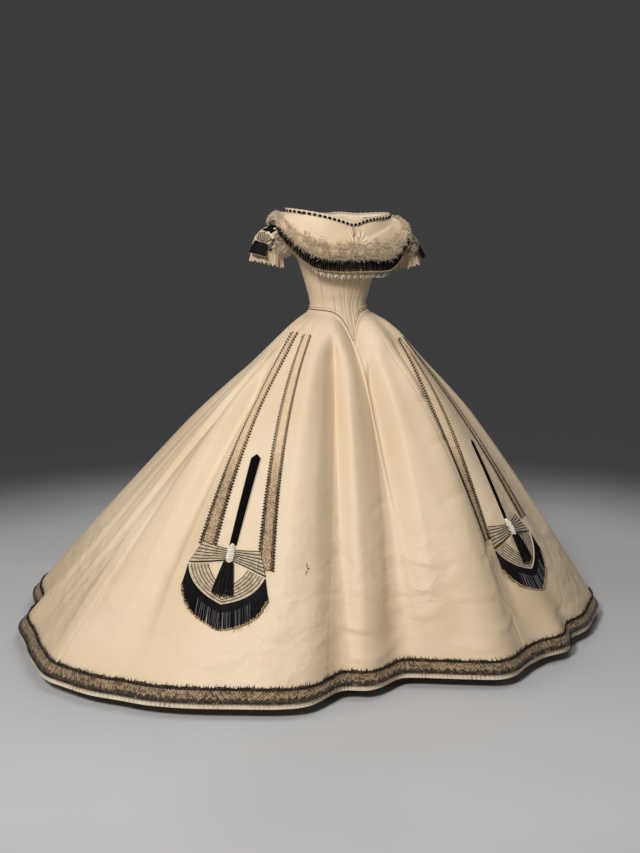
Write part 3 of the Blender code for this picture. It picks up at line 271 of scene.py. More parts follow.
def skirt_radius(angle, z, fine=True):
    """The skirt's radius with its folds; fine adds ripples, creases and crisp lines."""
    angle = turn_between(angle, 0)
    start, top = skirt_top(angle)
    share = np.clip((top - z) / (top - HEM_Z), 0, 1.1)
    hem = curve(HEM, 1, angle)
    straight = ease(-angle, 66, 96) * (1 - ease(-angle, 145, 180))
    total = start + (hem - start) * share ** (SPREAD_POWER + (SPREAD_POWER_RIGHT - SPREAD_POWER) * straight)
    for fold_top, fold_hem, width, height, first, full, hem_share in FOLDS:
        middle = fold_top + (fold_hem - fold_top) * share**0.7
        across = turn_between(angle, middle) / width
        strength = ease(share, first, full) * (1 - (1 - hem_share) * ease(share, full, 1.0))
        total = total + height * strength * np.exp(-across * across)
    for middle, width, height, full, length in PUFFS:
        across = turn_between(angle, middle) / width
        along = (share - full) / length
        total = total + height * ease(share, 0.0, 0.03) * np.exp(-across * across - along * along)
    gather = ease(share, 0.0, 0.04) * (1 - ease(share, 0.06, 0.22)) * (np.abs(angle) >= 50)
    total = total + WAIST_GATHER * gather * np.cos(np.pi * angle / 5.0)
    if fine:
        ripples = 0.0022 * sine(angle * 13 + 40 * np.sin(share * 5))
        ripples = ripples + 0.0015 * sine(angle * 29 + 90 * np.cos(share * 7))
        strength = ease(share, 0.30, 0.75) * (1 - 0.6 * ease(share, 0.9, 1.0))
        total = total + strength * ripples + creases_at(angle, z, total)
        for line_top, line_hem, width, height in LINES:
            across = turn_between(angle, line_top + (line_hem - line_top) * share**0.7) / (1.3 * width)
            strength = ease(share, 0.05, 0.30) * (1 - 0.8 * ease(share, 0.72, 0.94))
            ridge = np.exp(-np.sqrt(across**2 + 0.08)) - 0.08 * np.exp(-across**2 / 30)
            total = total + 1.9 * height * strength * ridge
    return total


def on_skirt(angle, z, out, fine=False):
    """Points just outside the skirt."""
    angle, z, out = arrays(angle, z, out)

    def spot(a, h):
        return polar(a, skirt_radius(a, h, fine), h)

    across = spot(angle + 0.4, z) - spot(angle - 0.4, z)
    down = spot(angle, z - 0.006) - spot(angle, z + 0.006)
    return spot(angle, z) + unit(np.cross(down, across)) * out[..., None]


# Meshes.


def link_new(name, data):
    made = bpy.data.objects.new(name, data)
    bpy.context.scene.collection.objects.link(made)
    return made


# A direction that no path runs along.
TUBE_REFERENCE = np.array([0.31, 0.17, 0.93])


class Piece:
    """One object, gathered from grids, tubes and ribbons before it is made."""

    def __init__(self, name, look, slot):
        self.name = name
        self.look = look
        self.slot = slot
        self.points = []
        self.faces = []
        self.uvs = []
        self.count = 0

    def add(self, points, faces, uv=None):
        points = np.asarray(points, float).reshape(-1, 3)
        self.points.append(points)
        self.faces.append(np.asarray(faces) + self.count)
        self.uvs.append(np.zeros((len(points), 2)) if uv is None else np.asarray(uv, float).reshape(-1, 2))
        self.count += len(points)
        return self

    def grid(self, points, u=None, v=None, closed=False, flip=False):
        """A surface through a grid of points, given row by row."""
        points = np.asarray(points, float)
        rows, columns = points.shape[:2]
        if closed:
            points = np.concatenate([points, points[:, :1]], axis=1)
            columns += 1
        i, j = np.meshgrid(np.arange(rows - 1), np.arange(columns - 1), indexing="ij")
        a = i * columns + j
        faces = np.stack([a, a + columns, a + columns + 1, a + 1], axis=-1).reshape(-1, 4)
        if flip:
            faces = faces[:, ::-1]
        u = np.broadcast_to(np.arange(columns) / columns if u is None else u, (rows, columns))
        v = np.asarray(np.arange(rows) / rows if v is None else v)
        v = np.broadcast_to(v if v.ndim == 2 else v[:, None], (rows, columns))
        return self.add(points, faces, np.stack([u, v], axis=-1))

    def tubes(self, paths, radii, sides=4, closed=False, flat=1.0):
        """Tubes along paths (count, stations, 3) with radii that can change along them."""
        paths = np.asarray(paths, float)
        if paths.ndim == 2:
            paths = paths[None]
        count, stations = paths.shape[:2]
        radii = np.broadcast_to(np.asarray(radii, float), (count, stations))
        if closed:
            wrapped = np.concatenate([paths[:, -1:], paths, paths[:, :1]], axis=1)
            tangents = unit(wrapped[:, 2:] - wrapped[:, :-2])
        else:
            tangents = unit(np.gradient(paths, axis=1))
        side = unit(np.cross(tangents, TUBE_REFERENCE))
        up = unit(np.cross(side, tangents)) * flat
        turns = (np.arange(sides) * 2 * np.pi / sides)[:, None]
        ring = side[:, :, None] * np.cos(turns) + up[:, :, None] * np.sin(turns)
        points = paths[:, :, None] + ring * radii[:, :, None, None]
        spans = stations if closed else stations - 1
        n, i, j = np.meshgrid(np.arange(count), np.arange(spans), np.arange(sides), indexing="ij")
        base = n * stations * sides
        a = base + i * sides + j
        b = base + i * sides + (j + 1) % sides
        c = base + (i + 1) % stations * sides + (j + 1) % sides
        d = base + (i + 1) % stations * sides + j
        return self.strips(points, np.stack([a, b, c, d], axis=-1))

    def strips(self, points, faces):
        """Adds points (count, stations, sides, 3), with one random u for each strip and v along it."""
        uv = np.zeros((*points.shape[:3], 2))
        uv[..., 0] = rng.random((len(points), 1, 1))
        uv[..., 1] = steps(points.shape[1])[None, :, None]
        return self.add(points, faces.reshape(-1, 4), uv)

    def ribbons(self, paths, sides, widths):
        """Flat strips along paths, widened along the given side directions."""
        paths = np.asarray(paths, float)
        count, stations = paths.shape[:2]
        widths = np.broadcast_to(np.asarray(widths, float), (count, stations))
        sides = np.broadcast_to(np.asarray(sides, float), paths.shape)
        half = sides * widths[..., None] / 2
        points = np.stack([paths - half, paths + half], axis=2)
        n, i = np.meshgrid(np.arange(count), np.arange(stations - 1), indexing="ij")
        a = (n * stations + i) * 2
        return self.strips(points, np.stack([a, a + 1, a + 3, a + 2], axis=-1))

    def beads(self, centres, radii, axis=(0, 0, 1.0), stretch=1.0, sides=5):
        """Small round beads."""
        centres = np.asarray(centres, float).reshape(-1, 3)
        radii = np.broadcast_to(np.asarray(radii, float), (len(centres),))
        axis = unit(np.broadcast_to(np.asarray(axis, float), centres.shape))
        t = np.linspace(0.12, np.pi - 0.12, 4)
        paths = centres[:, None] - axis[:, None] * (np.cos(t) * radii[:, None] * stretch)[..., None]
        return self.tubes(paths, radii[:, None] * np.sin(t), sides=sides)

    def done(self, replaces=(), thickness=0.0, flat=None, held=None, area=None):
        mesh = bpy.data.meshes.new(self.name)
        points = np.concatenate(self.points)
        faces = np.concatenate(self.faces)
        uv = np.concatenate(self.uvs)
        mesh.vertices.add(len(points))
        mesh.vertices.foreach_set("co", points.astype(np.float32).ravel())
        mesh.loops.add(faces.size)
        mesh.loops.foreach_set("vertex_index", faces.astype(np.int32).ravel())
        mesh.polygons.add(len(faces))
        mesh.polygons.foreach_set("loop_start", np.arange(0, faces.size, 4, dtype=np.int32))
        mesh.update(calc_edges=True)
        layer = mesh.uv_layers.new(name="UVMap")
        layer.data.foreach_set("uv", uv[faces.ravel()].astype(np.float32).ravel())
        mesh.shade_smooth()
        mesh.materials.append(self.look)
        mesh.validate()
        made = link_new(self.name, mesh)
        if thickness:
            shell = made.modifiers.new("thickness", "SOLIDIFY")
            shell.thickness = thickness
            shell.offset = -1.0
        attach(made, "root")
        if replaces:
            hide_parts(*replaces)


# Materials.


class Signal:
    """A node's output, which plain arithmetic can be written with."""

    def __init__(self, look, socket):
        self.look = look
        self.socket = socket

    def maths(self, operation, *others):
        return self.look.node("ShaderNodeMath", dict(enumerate((self, *others))), operation=operation)

    def __add__(self, other):
        return self.maths("ADD", other)

    def __sub__(self, other):
        return self.maths("SUBTRACT", other)

    def __mul__(self, other):
        return self.maths("MULTIPLY", other)

    def __truediv__(self, other):
        return self.maths("DIVIDE", other)

    def __gt__(self, other):
        return self.maths("GREATER_THAN", other)

    def __abs__(self):
        return self.maths("ABSOLUTE")

    def zigzag(self, length):
        """Up from 0 to 1 and down again, once in two lengths."""
        return (self / length).maths("PINGPONG", 1.0)


class Look:
    """A material of nodes, with its textures laid out in the object's own metres or in its UVs."""

    def __init__(self, name, roughness, **sockets):
        self.material = bpy.data.materials.new(name)
        self.material.use_nodes = True
        self.tree = self.material.node_tree
        self.shader = self.tree.nodes["Principled BSDF"].inputs
        for key, value in {"Roughness": roughness, **sockets}.items():
            self.shader[key.replace("_", " ")].default_value = value
        coordinates = self.tree.nodes.new("ShaderNodeTexCoord")
        self.place = Signal(self, coordinates.outputs["Object"])
        self.uv = Signal(self, coordinates.outputs["UV"])

    def put(self, inputs, key, value):
        if isinstance(value, Signal):
            self.tree.links.new(value.socket, inputs[key])
        else:
            inputs[key].default_value = value

    def node(self, kind, inputs, output=0, **settings):
        made = self.tree.nodes.new(kind)
        for key, value in settings.items():
            setattr(made, key, value)
        for key, value in inputs.items():
            self.put(made.inputs, key, value)
        return Signal(self, made.outputs[output])

    def ramp(self, source, *stops):
        """Colours or greys along a source, from (position, colour) pairs."""
        made = self.tree.nodes.new("ShaderNodeValToRGB")
        self.put(made.inputs, 0, source)
        elements = made.color_ramp.elements
        while len(elements) < len(stops):
            elements.new(0.5)
        for element, (position, colour) in zip(elements, stops):
            element.position = position
            element.color = (*(colour if isinstance(colour, tuple) else (colour,) * 3), 1.0)
        return Signal(self, made.outputs[0])

    def part(self, vector, number):
        return self.node("ShaderNodeSeparateXYZ", {"Vector": vector}, number)

    def mix(self, factor, colour, other):
        return self.node("ShaderNodeMix", {0: factor, 6: colour, 7: (*other, 1.0)}, 2, data_type="RGBA")

    def noise(self, vector, scale, detail=3.0, roughness=0.55, distortion=0.0, output=0):
        return self.node("ShaderNodeTexNoise", {"Vector": vector, "Scale": scale, "Detail": detail,
                                                "Roughness": roughness, "Distortion": distortion}, output)

    def scaled(self, vector, *scale):
        return self.node("ShaderNodeMapping", {"Vector": vector, "Scale": scale})

    def vectors(self, operation, a, b):
        return self.node("ShaderNodeVectorMath", {0: a, 1: b}, operation=operation)

    def ease(self, value, start, end):
        return self.node("ShaderNodeMapRange", {"Value": value, "From Min": start, "From Max": end},
                         interpolation_type="SMOOTHSTEP")

    def paint(self, colour):
        self.put(self.shader, "Base Color", colour)

    def bump(self, height, strength, distance):
        made = self.node("ShaderNodeBump", {"Height": height, "Strength": strength, "Distance": distance})
        self.put(self.shader, "Normal", made)


def silk_look(name, crumple, ribs=True):
    """Ivory ribbed silk with faint slubs, stains and storage creases."""
    look = Look(name, 0.44, Sheen_Weight=0.04, Sheen_Roughness=0.4, Specular_IOR_Level=0.36)
    place = look.place
    tone = look.noise(place, 2.6)
    ivory = look.ramp(tone, (0.30, (0.740, 0.575, 0.380)), (0.50, (0.790, 0.635, 0.440)),
                      (0.72, (0.830, 0.690, 0.505)))
    slubs = look.noise(look.scaled(place, 9.0, 9.0, 160.0), 1.6, 2.0)
    stains = look.ramp(look.noise(place, 16.0, 2.0), (0.70, 0.0), (0.80, 0.30))
    look.paint(look.mix(stains, look.mix(slubs * 0.16, ivory, (0.70, 0.50, 0.29)), (0.64, 0.44, 0.25)))
    look.put(look.shader, "Roughness", tone * 0.20 + 0.36)
    coarse = look.noise(look.scaled(place, 1.0, 1.0, 2.3), 8.0, 3.0, 0.5, 1.0)
    fine = look.noise(place, 46.0, 3.0, 0.6, 0.8)
    sway = look.vectors("MULTIPLY", look.noise(place, 9.0, 2.0, 0.5, output=1), (0.12, 0.12, 0.12))
    warped = look.vectors("ADD", look.scaled(place, 1.0, 1.0, 1.7), sway)
    facets = look.node("ShaderNodeTexVoronoi", {"Vector": warped, "Scale": 13.0})
    patches = look.ramp(look.noise(place, 2.2, 1.0), (0.40, 0.12), (0.62, 1.0))
    low = look.ease(look.part(place, 2), -0.35, -0.75) * 0.75 + 0.25
    height = (fine * 0.20 + (facets * 0.55 + coarse * 0.6)) * patches * low
    if ribs:
        ribbing = {"Vector": place, "Scale": 190.0, "Distortion": 0.6, "Detail": 1.0, "Detail Scale": 2.0}
        wave = look.node("ShaderNodeTexWave", ribbing, 1, bands_direction="Z")
        height = wave * 0.012 + height
    look.bump(height, crumple, 0.020)
    return look.material


def thread_look(name, dark, light, roughness=0.7, sheen=0.2, across=True, shine=0.5):
    """Threads or strands that each have a shade of their own, and with across off painted shade towards their
    roots.
    """
    look = Look(name, roughness, Sheen_Weight=sheen, Specular_IOR_Level=shine)
    value = look.part(look.uv, 0)
    # With across off, each strand is painted darker towards its root and paler towards its tip: painted shade
    # where the strands crowd together.
    if not across:
        value = value * 0.35 + look.part(look.uv, 1) * 0.65
    value = value + (look.noise(look.place, 240.0, 2.0) * 0.5 - 0.25)
    look.paint(look.ramp(value, (0.0, dark), (1.0, light)))
    look.bump(look.noise(look.place, 900.0, 2.0), 0.3, 0.0006)
    return look.material


def velvet_look(name):
    look = Look(name, 0.95, Sheen_Weight=0.15, Sheen_Roughness=0.35, Sheen_Tint=(0.10, 0.09, 0.10, 1),
                Specular_IOR_Level=0.08)
    nap = look.noise(look.place, 700.0)
    look.paint(look.ramp(nap, (0.3, 0.001), (0.8, (0.007, 0.006, 0.006))))
    look.bump(nap, 0.6, 0.0010)
    return look.material


def bead_look(name, colour, metallic, roughness):
    look = Look(name, roughness, Metallic=metallic)
    dark = tuple(c * 0.45 for c in colour)
    look.paint(look.ramp(look.noise(look.place, 320.0, 2.0), (0.3, dark), (0.7, colour)))
    return look.material


def hem_lace_look(name):
    """Black net over ivory: u runs round the hem in metres and v down the band from 0 to 1."""
    look = Look(name, 0.78, Sheen_Weight=0.1)
    u, v = look.part(look.uv, 0), look.part(look.uv, 1)
    across, down = u / 0.0080, v / 0.22
    rising, falling = (abs(lines.maths("FRACT") - 0.5) for lines in (across + down, across - down))
    net = rising.maths("MAXIMUM", falling) > 0.36
    flowers = look.ease(look.noise(look.scaled(look.uv, 130.0, 5.0, 1.0), 1.0, 2.0, 0.6), 0.40, 0.60)
    patches = look.noise(look.scaled(look.uv, 26.0, 1.2, 1.0), 1.0, 1.0, 0.5) > 0.53
    scallops = look.ease(u.zigzag(0.009) * -0.16 + v, 0.56, 0.66)
    header = look.ease(v, 0.12, 0.22) * -0.42 + 0.42
    foot = v > u.zigzag(0.010) * 0.07 + 0.90
    cover = net * 0.34 + scallops * 0.45 + header + (flowers * 0.46 - 0.14) - patches * 0.13 - foot * 0.25
    look.paint(look.ramp(cover, (0.02, (0.40, 0.28, 0.155)), (0.26, (0.16, 0.105, 0.056)),
                         (0.52, (0.040, 0.025, 0.015)), (0.85, (0.008, 0.006, 0.005))))
    look.bump(cover, 0.5, 0.0015)
    return look.material


def band_lace_look(name):
    """Pale dotted net: u runs along the band in metres and v across it from 0 to 1."""
    look = Look(name, 0.8, Sheen_Weight=0.1)
    u, v = look.part(look.uv, 0), look.part(look.uv, 1)
    mesh = look.scaled(look.uv, 330.0, 9.0, 1.0)
    cell = look.node("ShaderNodeTexVoronoi", {"Vector": mesh, "Scale": 1.0, "Randomness": 0.55})
    net = look.ramp(cell, (0.20, 0.0), (0.55, 1.0))
    dark_edge = look.ease(abs(v - 0.5), 0.24, 0.34)
    low = look.ease(u, 0.30, 0.50)
    flowers = look.noise(look.scaled(look.uv, 60.0, 3.0, 1.0), 1.0, 2.0)
    cover = net * (low * 0.34 + 0.16) + dark_edge * 0.26 + (flowers * 0.4 - 0.14) + low * 0.10
    look.paint(look.ramp(cover, (0.14, (0.78, 0.59, 0.37)), (0.42, (0.52, 0.37, 0.215)),
                         (0.80, (0.11, 0.068, 0.038)), (1.0, (0.020, 0.013, 0.009))))
    look.bump(cover, 0.4, 0.0010)
    return look.material


def braid_look(name):
    """Cream braid of fine twisted cords side by side."""
    look = Look(name, 0.55, Sheen_Weight=0.2)
    look.paint(look.ramp(look.noise(look.place, 90.0), (0.3, (0.36, 0.27, 0.17)), (0.6, (0.66, 0.54, 0.37)),
                         (0.8, (0.84, 0.74, 0.56))))
    twist = look.node("ShaderNodeTexWave", {"Vector": look.place, "Scale": 260.0, "Distortion": 2.0}, 1,
                      bands_direction="DIAGONAL")
    look.bump(twist, 0.5, 0.0008)
    return look.material


def pleating_look(name):
    """Fine ivory pleats with painted shade in their depths: u is the angle round the hem."""
    look = Look(name, 0.6, Sheen_Weight=0.2)
    fold = look.part(look.uv, 0).zigzag(PLEAT_ANGLE)
    value = fold * 0.6 + (look.noise(look.place, 22.0, 2.0) * 1.1 - 0.40)
    # The ramp's dark brown end falls in the pleats' depths: painted shade in the folds.
    look.paint(look.ramp(value, (0.0, (0.20, 0.12, 0.07)), (0.16, (0.70, 0.55, 0.39)),
                         (0.9, (0.88, 0.77, 0.60))))
    look.bump(fold, 0.4, 0.001)
    return look.material


SILK_LOOK = silk_look("ivory_silk_skirt", 0.50)
BODICE_LOOK = silk_look("ivory_silk_bodice", 0.22)
BERTHA_LOOK = silk_look("ivory_silk_bertha", 0.16, ribs=False)
SEAM_LOOK = thread_look("ivory_seam_thread", (0.42, 0.30, 0.17), (0.60, 0.46, 0.30))
PIPING_LOOK = thread_look("ivory_piping", (0.70, 0.57, 0.39), (0.80, 0.67, 0.48), 0.5)
# Blonde filaments whose dark brown roots are painted shade where they crowd together.
FLUFF_LOOK = thread_look("blonde_fluff", (0.40, 0.270, 0.150), (0.97, 0.86, 0.66), 0.8, 0.1, across=False)
CREAM_LOOK = thread_look("cream_lace_thread", (0.62, 0.51, 0.36), (0.86, 0.78, 0.63), 0.8, 0.3)
NET_LOOK = thread_look("cream_net", (0.58, 0.43, 0.27), (0.80, 0.65, 0.45), 0.85, 0.1)
FRINGE_LOOK = thread_look("black_silk_strand", (0.0015, 0.0012, 0.0015), (0.012, 0.010, 0.011), 0.55, 0.0,
                          shine=0.10)
# Pale grey strands laid over the black fringe as painted glints.
GLINT_LOOK = thread_look("painted_glint_strand", (0.12, 0.12, 0.13), (0.42, 0.40, 0.40), 0.4, 0.0)
VELVET_LOOK = velvet_look("black_velvet_pile")
CORD_LOOK = thread_look("black_cord", (0.003, 0.0025, 0.0025), (0.012, 0.010, 0.009), 0.6, 0.0, shine=0.2)
LACE_LOOK = hem_lace_look("black_hem_lace")
LACE_THREAD_LOOK = thread_look("black_lace_thread", (0.004, 0.003, 0.0025), (0.050, 0.032, 0.020), 0.8, 0.0,
                               shine=0.2)
BAND_LOOK = band_lace_look("dotted_net_band")
BRAID_LOOK = braid_look("cream_braid_cords")
KNOB_LOOK = thread_look("white_cotton", (0.66, 0.62, 0.50), (0.90, 0.87, 0.76), 0.8, 0.2)
GOLD_LOOK = bead_look("brass_bead", (0.66, 0.43, 0.19), 0.25, 0.34)
PEARL_LOOK = bead_look("pearl_bead", (0.82, 0.76, 0.64), 0.0, 0.25)
MARK_LOOK = thread_look("red_thread", (0.22, 0.035, 0.020), (0.36, 0.06, 0.035))
PLEATING_LOOK = pleating_look("ivory_pleating")


# Skirt.

# Width at the waist, width at the hem and length of each gore, as it was cut.
CUTS = {
    "skirt_front": (0.24, 0.66, 1.10), "skirt_side_front_left": (0.24, 0.70, 1.16),
    "skirt_side_back_left": (0.26, 0.86, 1.24), "skirt_back_left": (0.30, 1.16, 1.42),
    "skirt_back_right": (0.30, 1.16, 1.42), "skirt_side_back_right": (0.28, 0.92, 1.34),
    "skirt_side_front_right": (0.26, 0.86, 1.30),
}


def skirt_gores():
    """The silk of the gores, with a turn under the basque and shallow grooves along the seams."""
    for name, start, end in GORES:
        edge = np.array([0, 0.10, 0.22, 0.4])
        inner = np.linspace(start + 0.8, end - 0.8, int((end - start) * 1.7))
        angles = np.unique(np.concatenate([start + edge, end - edge, inner]))
        top_radius, top_z = skirt_top(angles)
        edge_z = basque_edge(angles)
        rows = []
        for t in (0.0, 0.2, 0.4, 0.6, 0.8):
            low = edge_z - UNDER_BASQUE * 1.6
            r0 = bodice_radius(angles, edge_z) - SILK - UNDER_BASQUE
            radius = r0 + (top_radius - r0) * math.sin(t * math.pi / 2)
            z = low + (top_z - low) * (1 - math.cos(t * math.pi / 2))
            rows.append(polar(angles, radius, z))
        shares = np.unique(np.concatenate([np.linspace(0, 0.14, 20), np.linspace(0.14, 1, 104)]))
        seam = np.minimum(np.abs(angles - start), np.abs(angles - end))
        for share in shares:
            z = top_z + (HEM_Z - top_z) * share
            radius = skirt_radius(angles, z)
            groove = 0.0016 * np.exp(-((np.radians(seam) * radius / 0.0035) ** 2)) * min(share * 12, 1)
            rows.append(polar(angles, radius - groove, z))
        rows = np.array(rows)
        top_width, hem_width, length = CUTS[name]
        Piece(name + "_silk", SILK_LOOK, "ivory_silk").grid(rows, u=np.radians(angles), v=-rows[..., 2]).done(
            replaces=[name], flat=(hem_width, length), held="gathered",
            area=(top_width + hem_width) / 2 * length)


def stitched_mark():
    """A small unpicked thread on the front."""
    spot = Piece("skirt_thread_mark", MARK_LOOK, "ivory_silk")
    marks = ((-30.9, 0.655, -30.7, 0.664), (-30.8, 0.664, -30.3, 0.672), (-30.6, 0.672, -30.9, 0.683),
             (-30.4, 0.668, -30.1, 0.670))
    for a0, d0, a1, d1 in marks:
        t = steps(6)
        path = on_skirt(a0 + (a1 - a0) * t, -(d0 + (d1 - d0) * t), 0.0010, fine=True)
        spot.tubes(path, 0.0014 * np.sin(np.pi * (0.1 + 0.8 * t)))
    spot.done()


# Bodice.

# Wrinkles above the waist. Columns: angle, height, half width, half thickness, depth, tilt.
WRINKLES = (
    (-40, 0.062, 26, 0.0040, -0.0016, 0.010), (-34, 0.030, 24, 0.0035, 0.0014, -0.006),
    (-58, 0.086, 20, 0.0040, 0.0012, 0.016), (44, 0.048, 18, 0.0040, -0.0014, -0.010),
    (70, 0.030, 22, 0.0040, 0.0014, 0.008), (-85, 0.036, 24, 0.0040, -0.0014, 0.010),
    (130, 0.034, 24, 0.0045, 0.0014, 0.006), (-135, 0.060, 22, 0.0045, -0.0014, 0.008),
    (165, 0.080, 18, 0.0045, 0.0012, -0.010), (-160, 0.028, 20, 0.0040, 0.0014, 0.006),
)
# Columns: node, first and last angle, columns of points, flat size, share of that rectangle.
PANELS = (
    ("bodice_front", -55, 55, 160, (0.34, 0.38), 0.53), ("bodice_side_left", 55, 115, 60, (0.15, 0.21), 0.86),
    ("bodice_back_left", 115, 180, 66, (0.13, 0.33), 0.84),
    ("bodice_back_right", -180, -115, 66, (0.13, 0.33), 0.84),
    ("bodice_side_right", -115, -55, 60, (0.15, 0.21), 0.86),
)
# Turns of the seams at the sides and behind, the same on both sides.
SEAMS = (55.0, 115.0)


def bodice_surface(angle, z, out=0.0):
    """The bodice with shallow valleys along its darts and seams and a few wrinkles at the waist."""
    angle, z = arrays(angle, z)
    radius = bodice_radius(angle, z)
    turn = np.abs(turn_between(angle, 0))
    total = np.zeros(angle.shape)

    def valley(line):
        return 0.0012 * np.exp(-((np.radians(turn - line) * radius / 0.0030) ** 2))

    for turn_top, z_top, turn_foot, z_foot in DARTS:
        share = np.clip((z_top - z) / (z_top - z_foot), 0, 1)
        line = turn_top + (turn_foot - turn_top) * share**1.15
        total -= valley(line) * ease(z_top - z, -0.01, 0.03)
    for seam in SEAMS:
        total -= valley(seam)
    for middle, height, width, thick, depth, tilt in WRINKLES:
        across = turn_between(angle, middle) / width
        total += depth * np.exp(-across**2 * 2 - ((z - height - tilt * across) / thick) ** 2)
    return polar(angle, radius + total + out, z)


def bodice():
    for name, start, end, count, flat, share in PANELS:
        angles = np.linspace(start + 0.06, end - 0.06, count)
        low = basque_edge(angles)
        high = bodice_top(angles)
        rows = np.array([bodice_surface(angles, low + (high - low) * t) for t in steps(52)])
        Piece(name + "_silk", BODICE_LOOK, "ivory_silk").grid(rows[::-1]).done(
            replaces=[name], thickness=0.0014, flat=flat, held="stretched", area=flat[0] * flat[1] * share)
    seams = Piece("bodice_seam_lines", SEAM_LOOK, "ivory_silk")
    t = steps(40)
    for side in (-1, 1):
        for turn_top, z_top, turn_foot, z_foot in DARTS:
            line = turn_top + (turn_foot - turn_top) * t**1.15
            z = np.maximum(z_top + (z_foot - z_top) * t, basque_edge(line) + 0.006)
            seams.tubes(bodice_surface(side * line, z, 0.0002), 0.00045)
        for seam in SEAMS:
            z = basque_edge(seam) + 0.006 + (bodice_top(seam) - basque_edge(seam) - 0.008) * t
            seams.tubes(bodice_surface(side * seam + 0 * t, z, 0.0002), 0.00045)
        z = -0.085 + 0.225 * t
        seams.tubes(bodice_surface(side * 1.3 + 0 * t, z, 0.0001), 0.0003)
    z = basque_edge(180.0) + 0.006 + 0.26 * t
    seams.tubes(bodice_surface(180 + 0 * t, z, 0.0003), 0.0006)
    seams.done()
    piping = Piece("basque_piping_cords", PIPING_LOOK, "ivory_silk")
    angles = np.sort(np.concatenate([np.arange(-180, 180, 2.0), np.arange(-15, 15, 0.5) + 0.25]))
    edge = basque_edge(angles)
    rise = basque_edge(angles + 0.5) - basque_edge(angles - 0.5)
    slope = np.clip(rise / (bodice_radius(angles, edge) * math.radians(1)), -2.2, 2.2)
    for lift, radius in ((0.0018, 0.0017), (0.0085, 0.0014)):
        path = bodice_surface(angles, edge + lift * np.hypot(1, slope), radius)
        piping.tubes(path, radius, sides=6, closed=True)
    piping.done(replaces=["basque_piping"])


# Neckline and bertha.


def neck_spot(angle, down=0.0, out=0.0):
    """A place on the neckline, down from its edge and out from the body."""
    return polar(angle, around(NECK, angle, 1) + out, around(NECK, angle, 2) - down)


def neck_band():
    angles = np.arange(-180, 180, 1.5)
    sections = ((0.0, -0.0012), (-0.0006, 0.0004), (0.0, 0.0014), (0.005, 0.0018), (0.0098, 0.0014),
                (0.0100, -0.0012))
    rows = [neck_spot(angles, down, out) for down, out in sections]
    edging = Piece("neck_band_edging", CREAM_LOOK, "cream_lace").grid(rows[::-1], closed=True)
    edging.done(replaces=["neck_band"])
    fine = np.arange(0, 360, 0.6)
    wave = np.radians(fine * 60)
    rows = [neck_spot(fine, -0.0030 - 0.0007 * np.cos(wave), 0.0002 + 0.0011 * np.sin(wave)),
            neck_spot(fine, 0.0, 0.0002)]
    Piece("neck_gauze_edge", NET_LOOK, "cream_lace").grid(rows, closed=True).done()
    ribbon = Piece("neck_ribbon", VELVET_LOOK, "black_velvet")
    count = 60
    for k in range(count):
        middle = 360 * k / count + 2.7
        t = np.linspace(-1, 1, 9)
        a = middle + t * 2.0
        out = 0.0019 + 0.0010 * arch(t)
        ribbon.grid([neck_spot(a, 0.0088, out), neck_spot(a, 0.0050, out + 0.0006),
                     neck_spot(a, 0.0012, out)][::-1])
    for angle in (-66, 66, -118, 118):
        for lean in (-1, 1):
            t = steps(8)
            path = neck_spot(angle + lean * 2.0 * t, 0.004 + 0.006 * t, 0.003 + 0.003 * np.sin(t * 2.4))
            ribbon.ribbons(path[None], unit(np.array([0.3 * lean, 0.2, 1.0])), 0.0034)
    ribbon.done()


BERTHA_FRONT = BERTHA_EDGE[0][1]
STRAP_WIDTH = 0.013
STRAP_ANGLE = math.degrees(STRAP_WIDTH / 2 / BERTHA_FRONT)


def bertha_point(angle, share, out=0.0):
    """A place on the bertha, share 0 at the neck and 1 at its lower edge."""
    angle, share, out = arrays(angle, share, out)
    neck = polar(angle, around(NECK, angle, 1), around(NECK, angle, 2) - NECK_BAND_HEIGHT - 0.0005)
    edge = polar(angle, around(BERTHA_EDGE, angle, 1), around(BERTHA_EDGE, angle, 2))
    bulge = BERTHA_BULGE * np.sin(np.pi * share) + out
    return neck + (edge - neck) * share[..., None] + polar(angle, bulge, bulge * 0.4)


def bertha_detail(angle, share):
    """Fine pleats that fan out from the strap, and soft folds over the shoulders and behind."""
    turn = np.abs(turn_between(angle, 0))
    across = np.radians(turn) * BERTHA_FRONT
    along = (0.62 - share) * 0.11
    reach = np.hypot(across, along)
    fan = np.degrees(np.arctan2(along, np.maximum(across, 1e-4)))
    pleat = np.abs(sine(fan * 9.0 + 20)) ** 0.6 - 0.5
    detail = 0.0046 * pleat * ease(reach, 0.002, 0.010) * (1 - ease(reach, 0.030, 0.070)) * (turn < 62)
    left = ease(turn_between(angle, 0), 4, 10) * (1 - ease(turn, 50, 70))
    fold = 0.20 + 0.0055 * (62 - np.minimum(turn, 62))
    detail = detail + left * 0.0060 * (1 / (1 + np.exp(-(share - fold) / 0.012)) - 0.5)
    sweep = sine(share * 620 + turn * 2.2)
    detail = detail + 0.0016 * sweep * ease(turn, 8, 34) * (1 - ease(turn, 58, 80))
    folds = 0.0022 * sine(angle * 14 + share * 160) * ease(turn, 70, 100) * (1 - 0.5 * share)
    return detail + folds


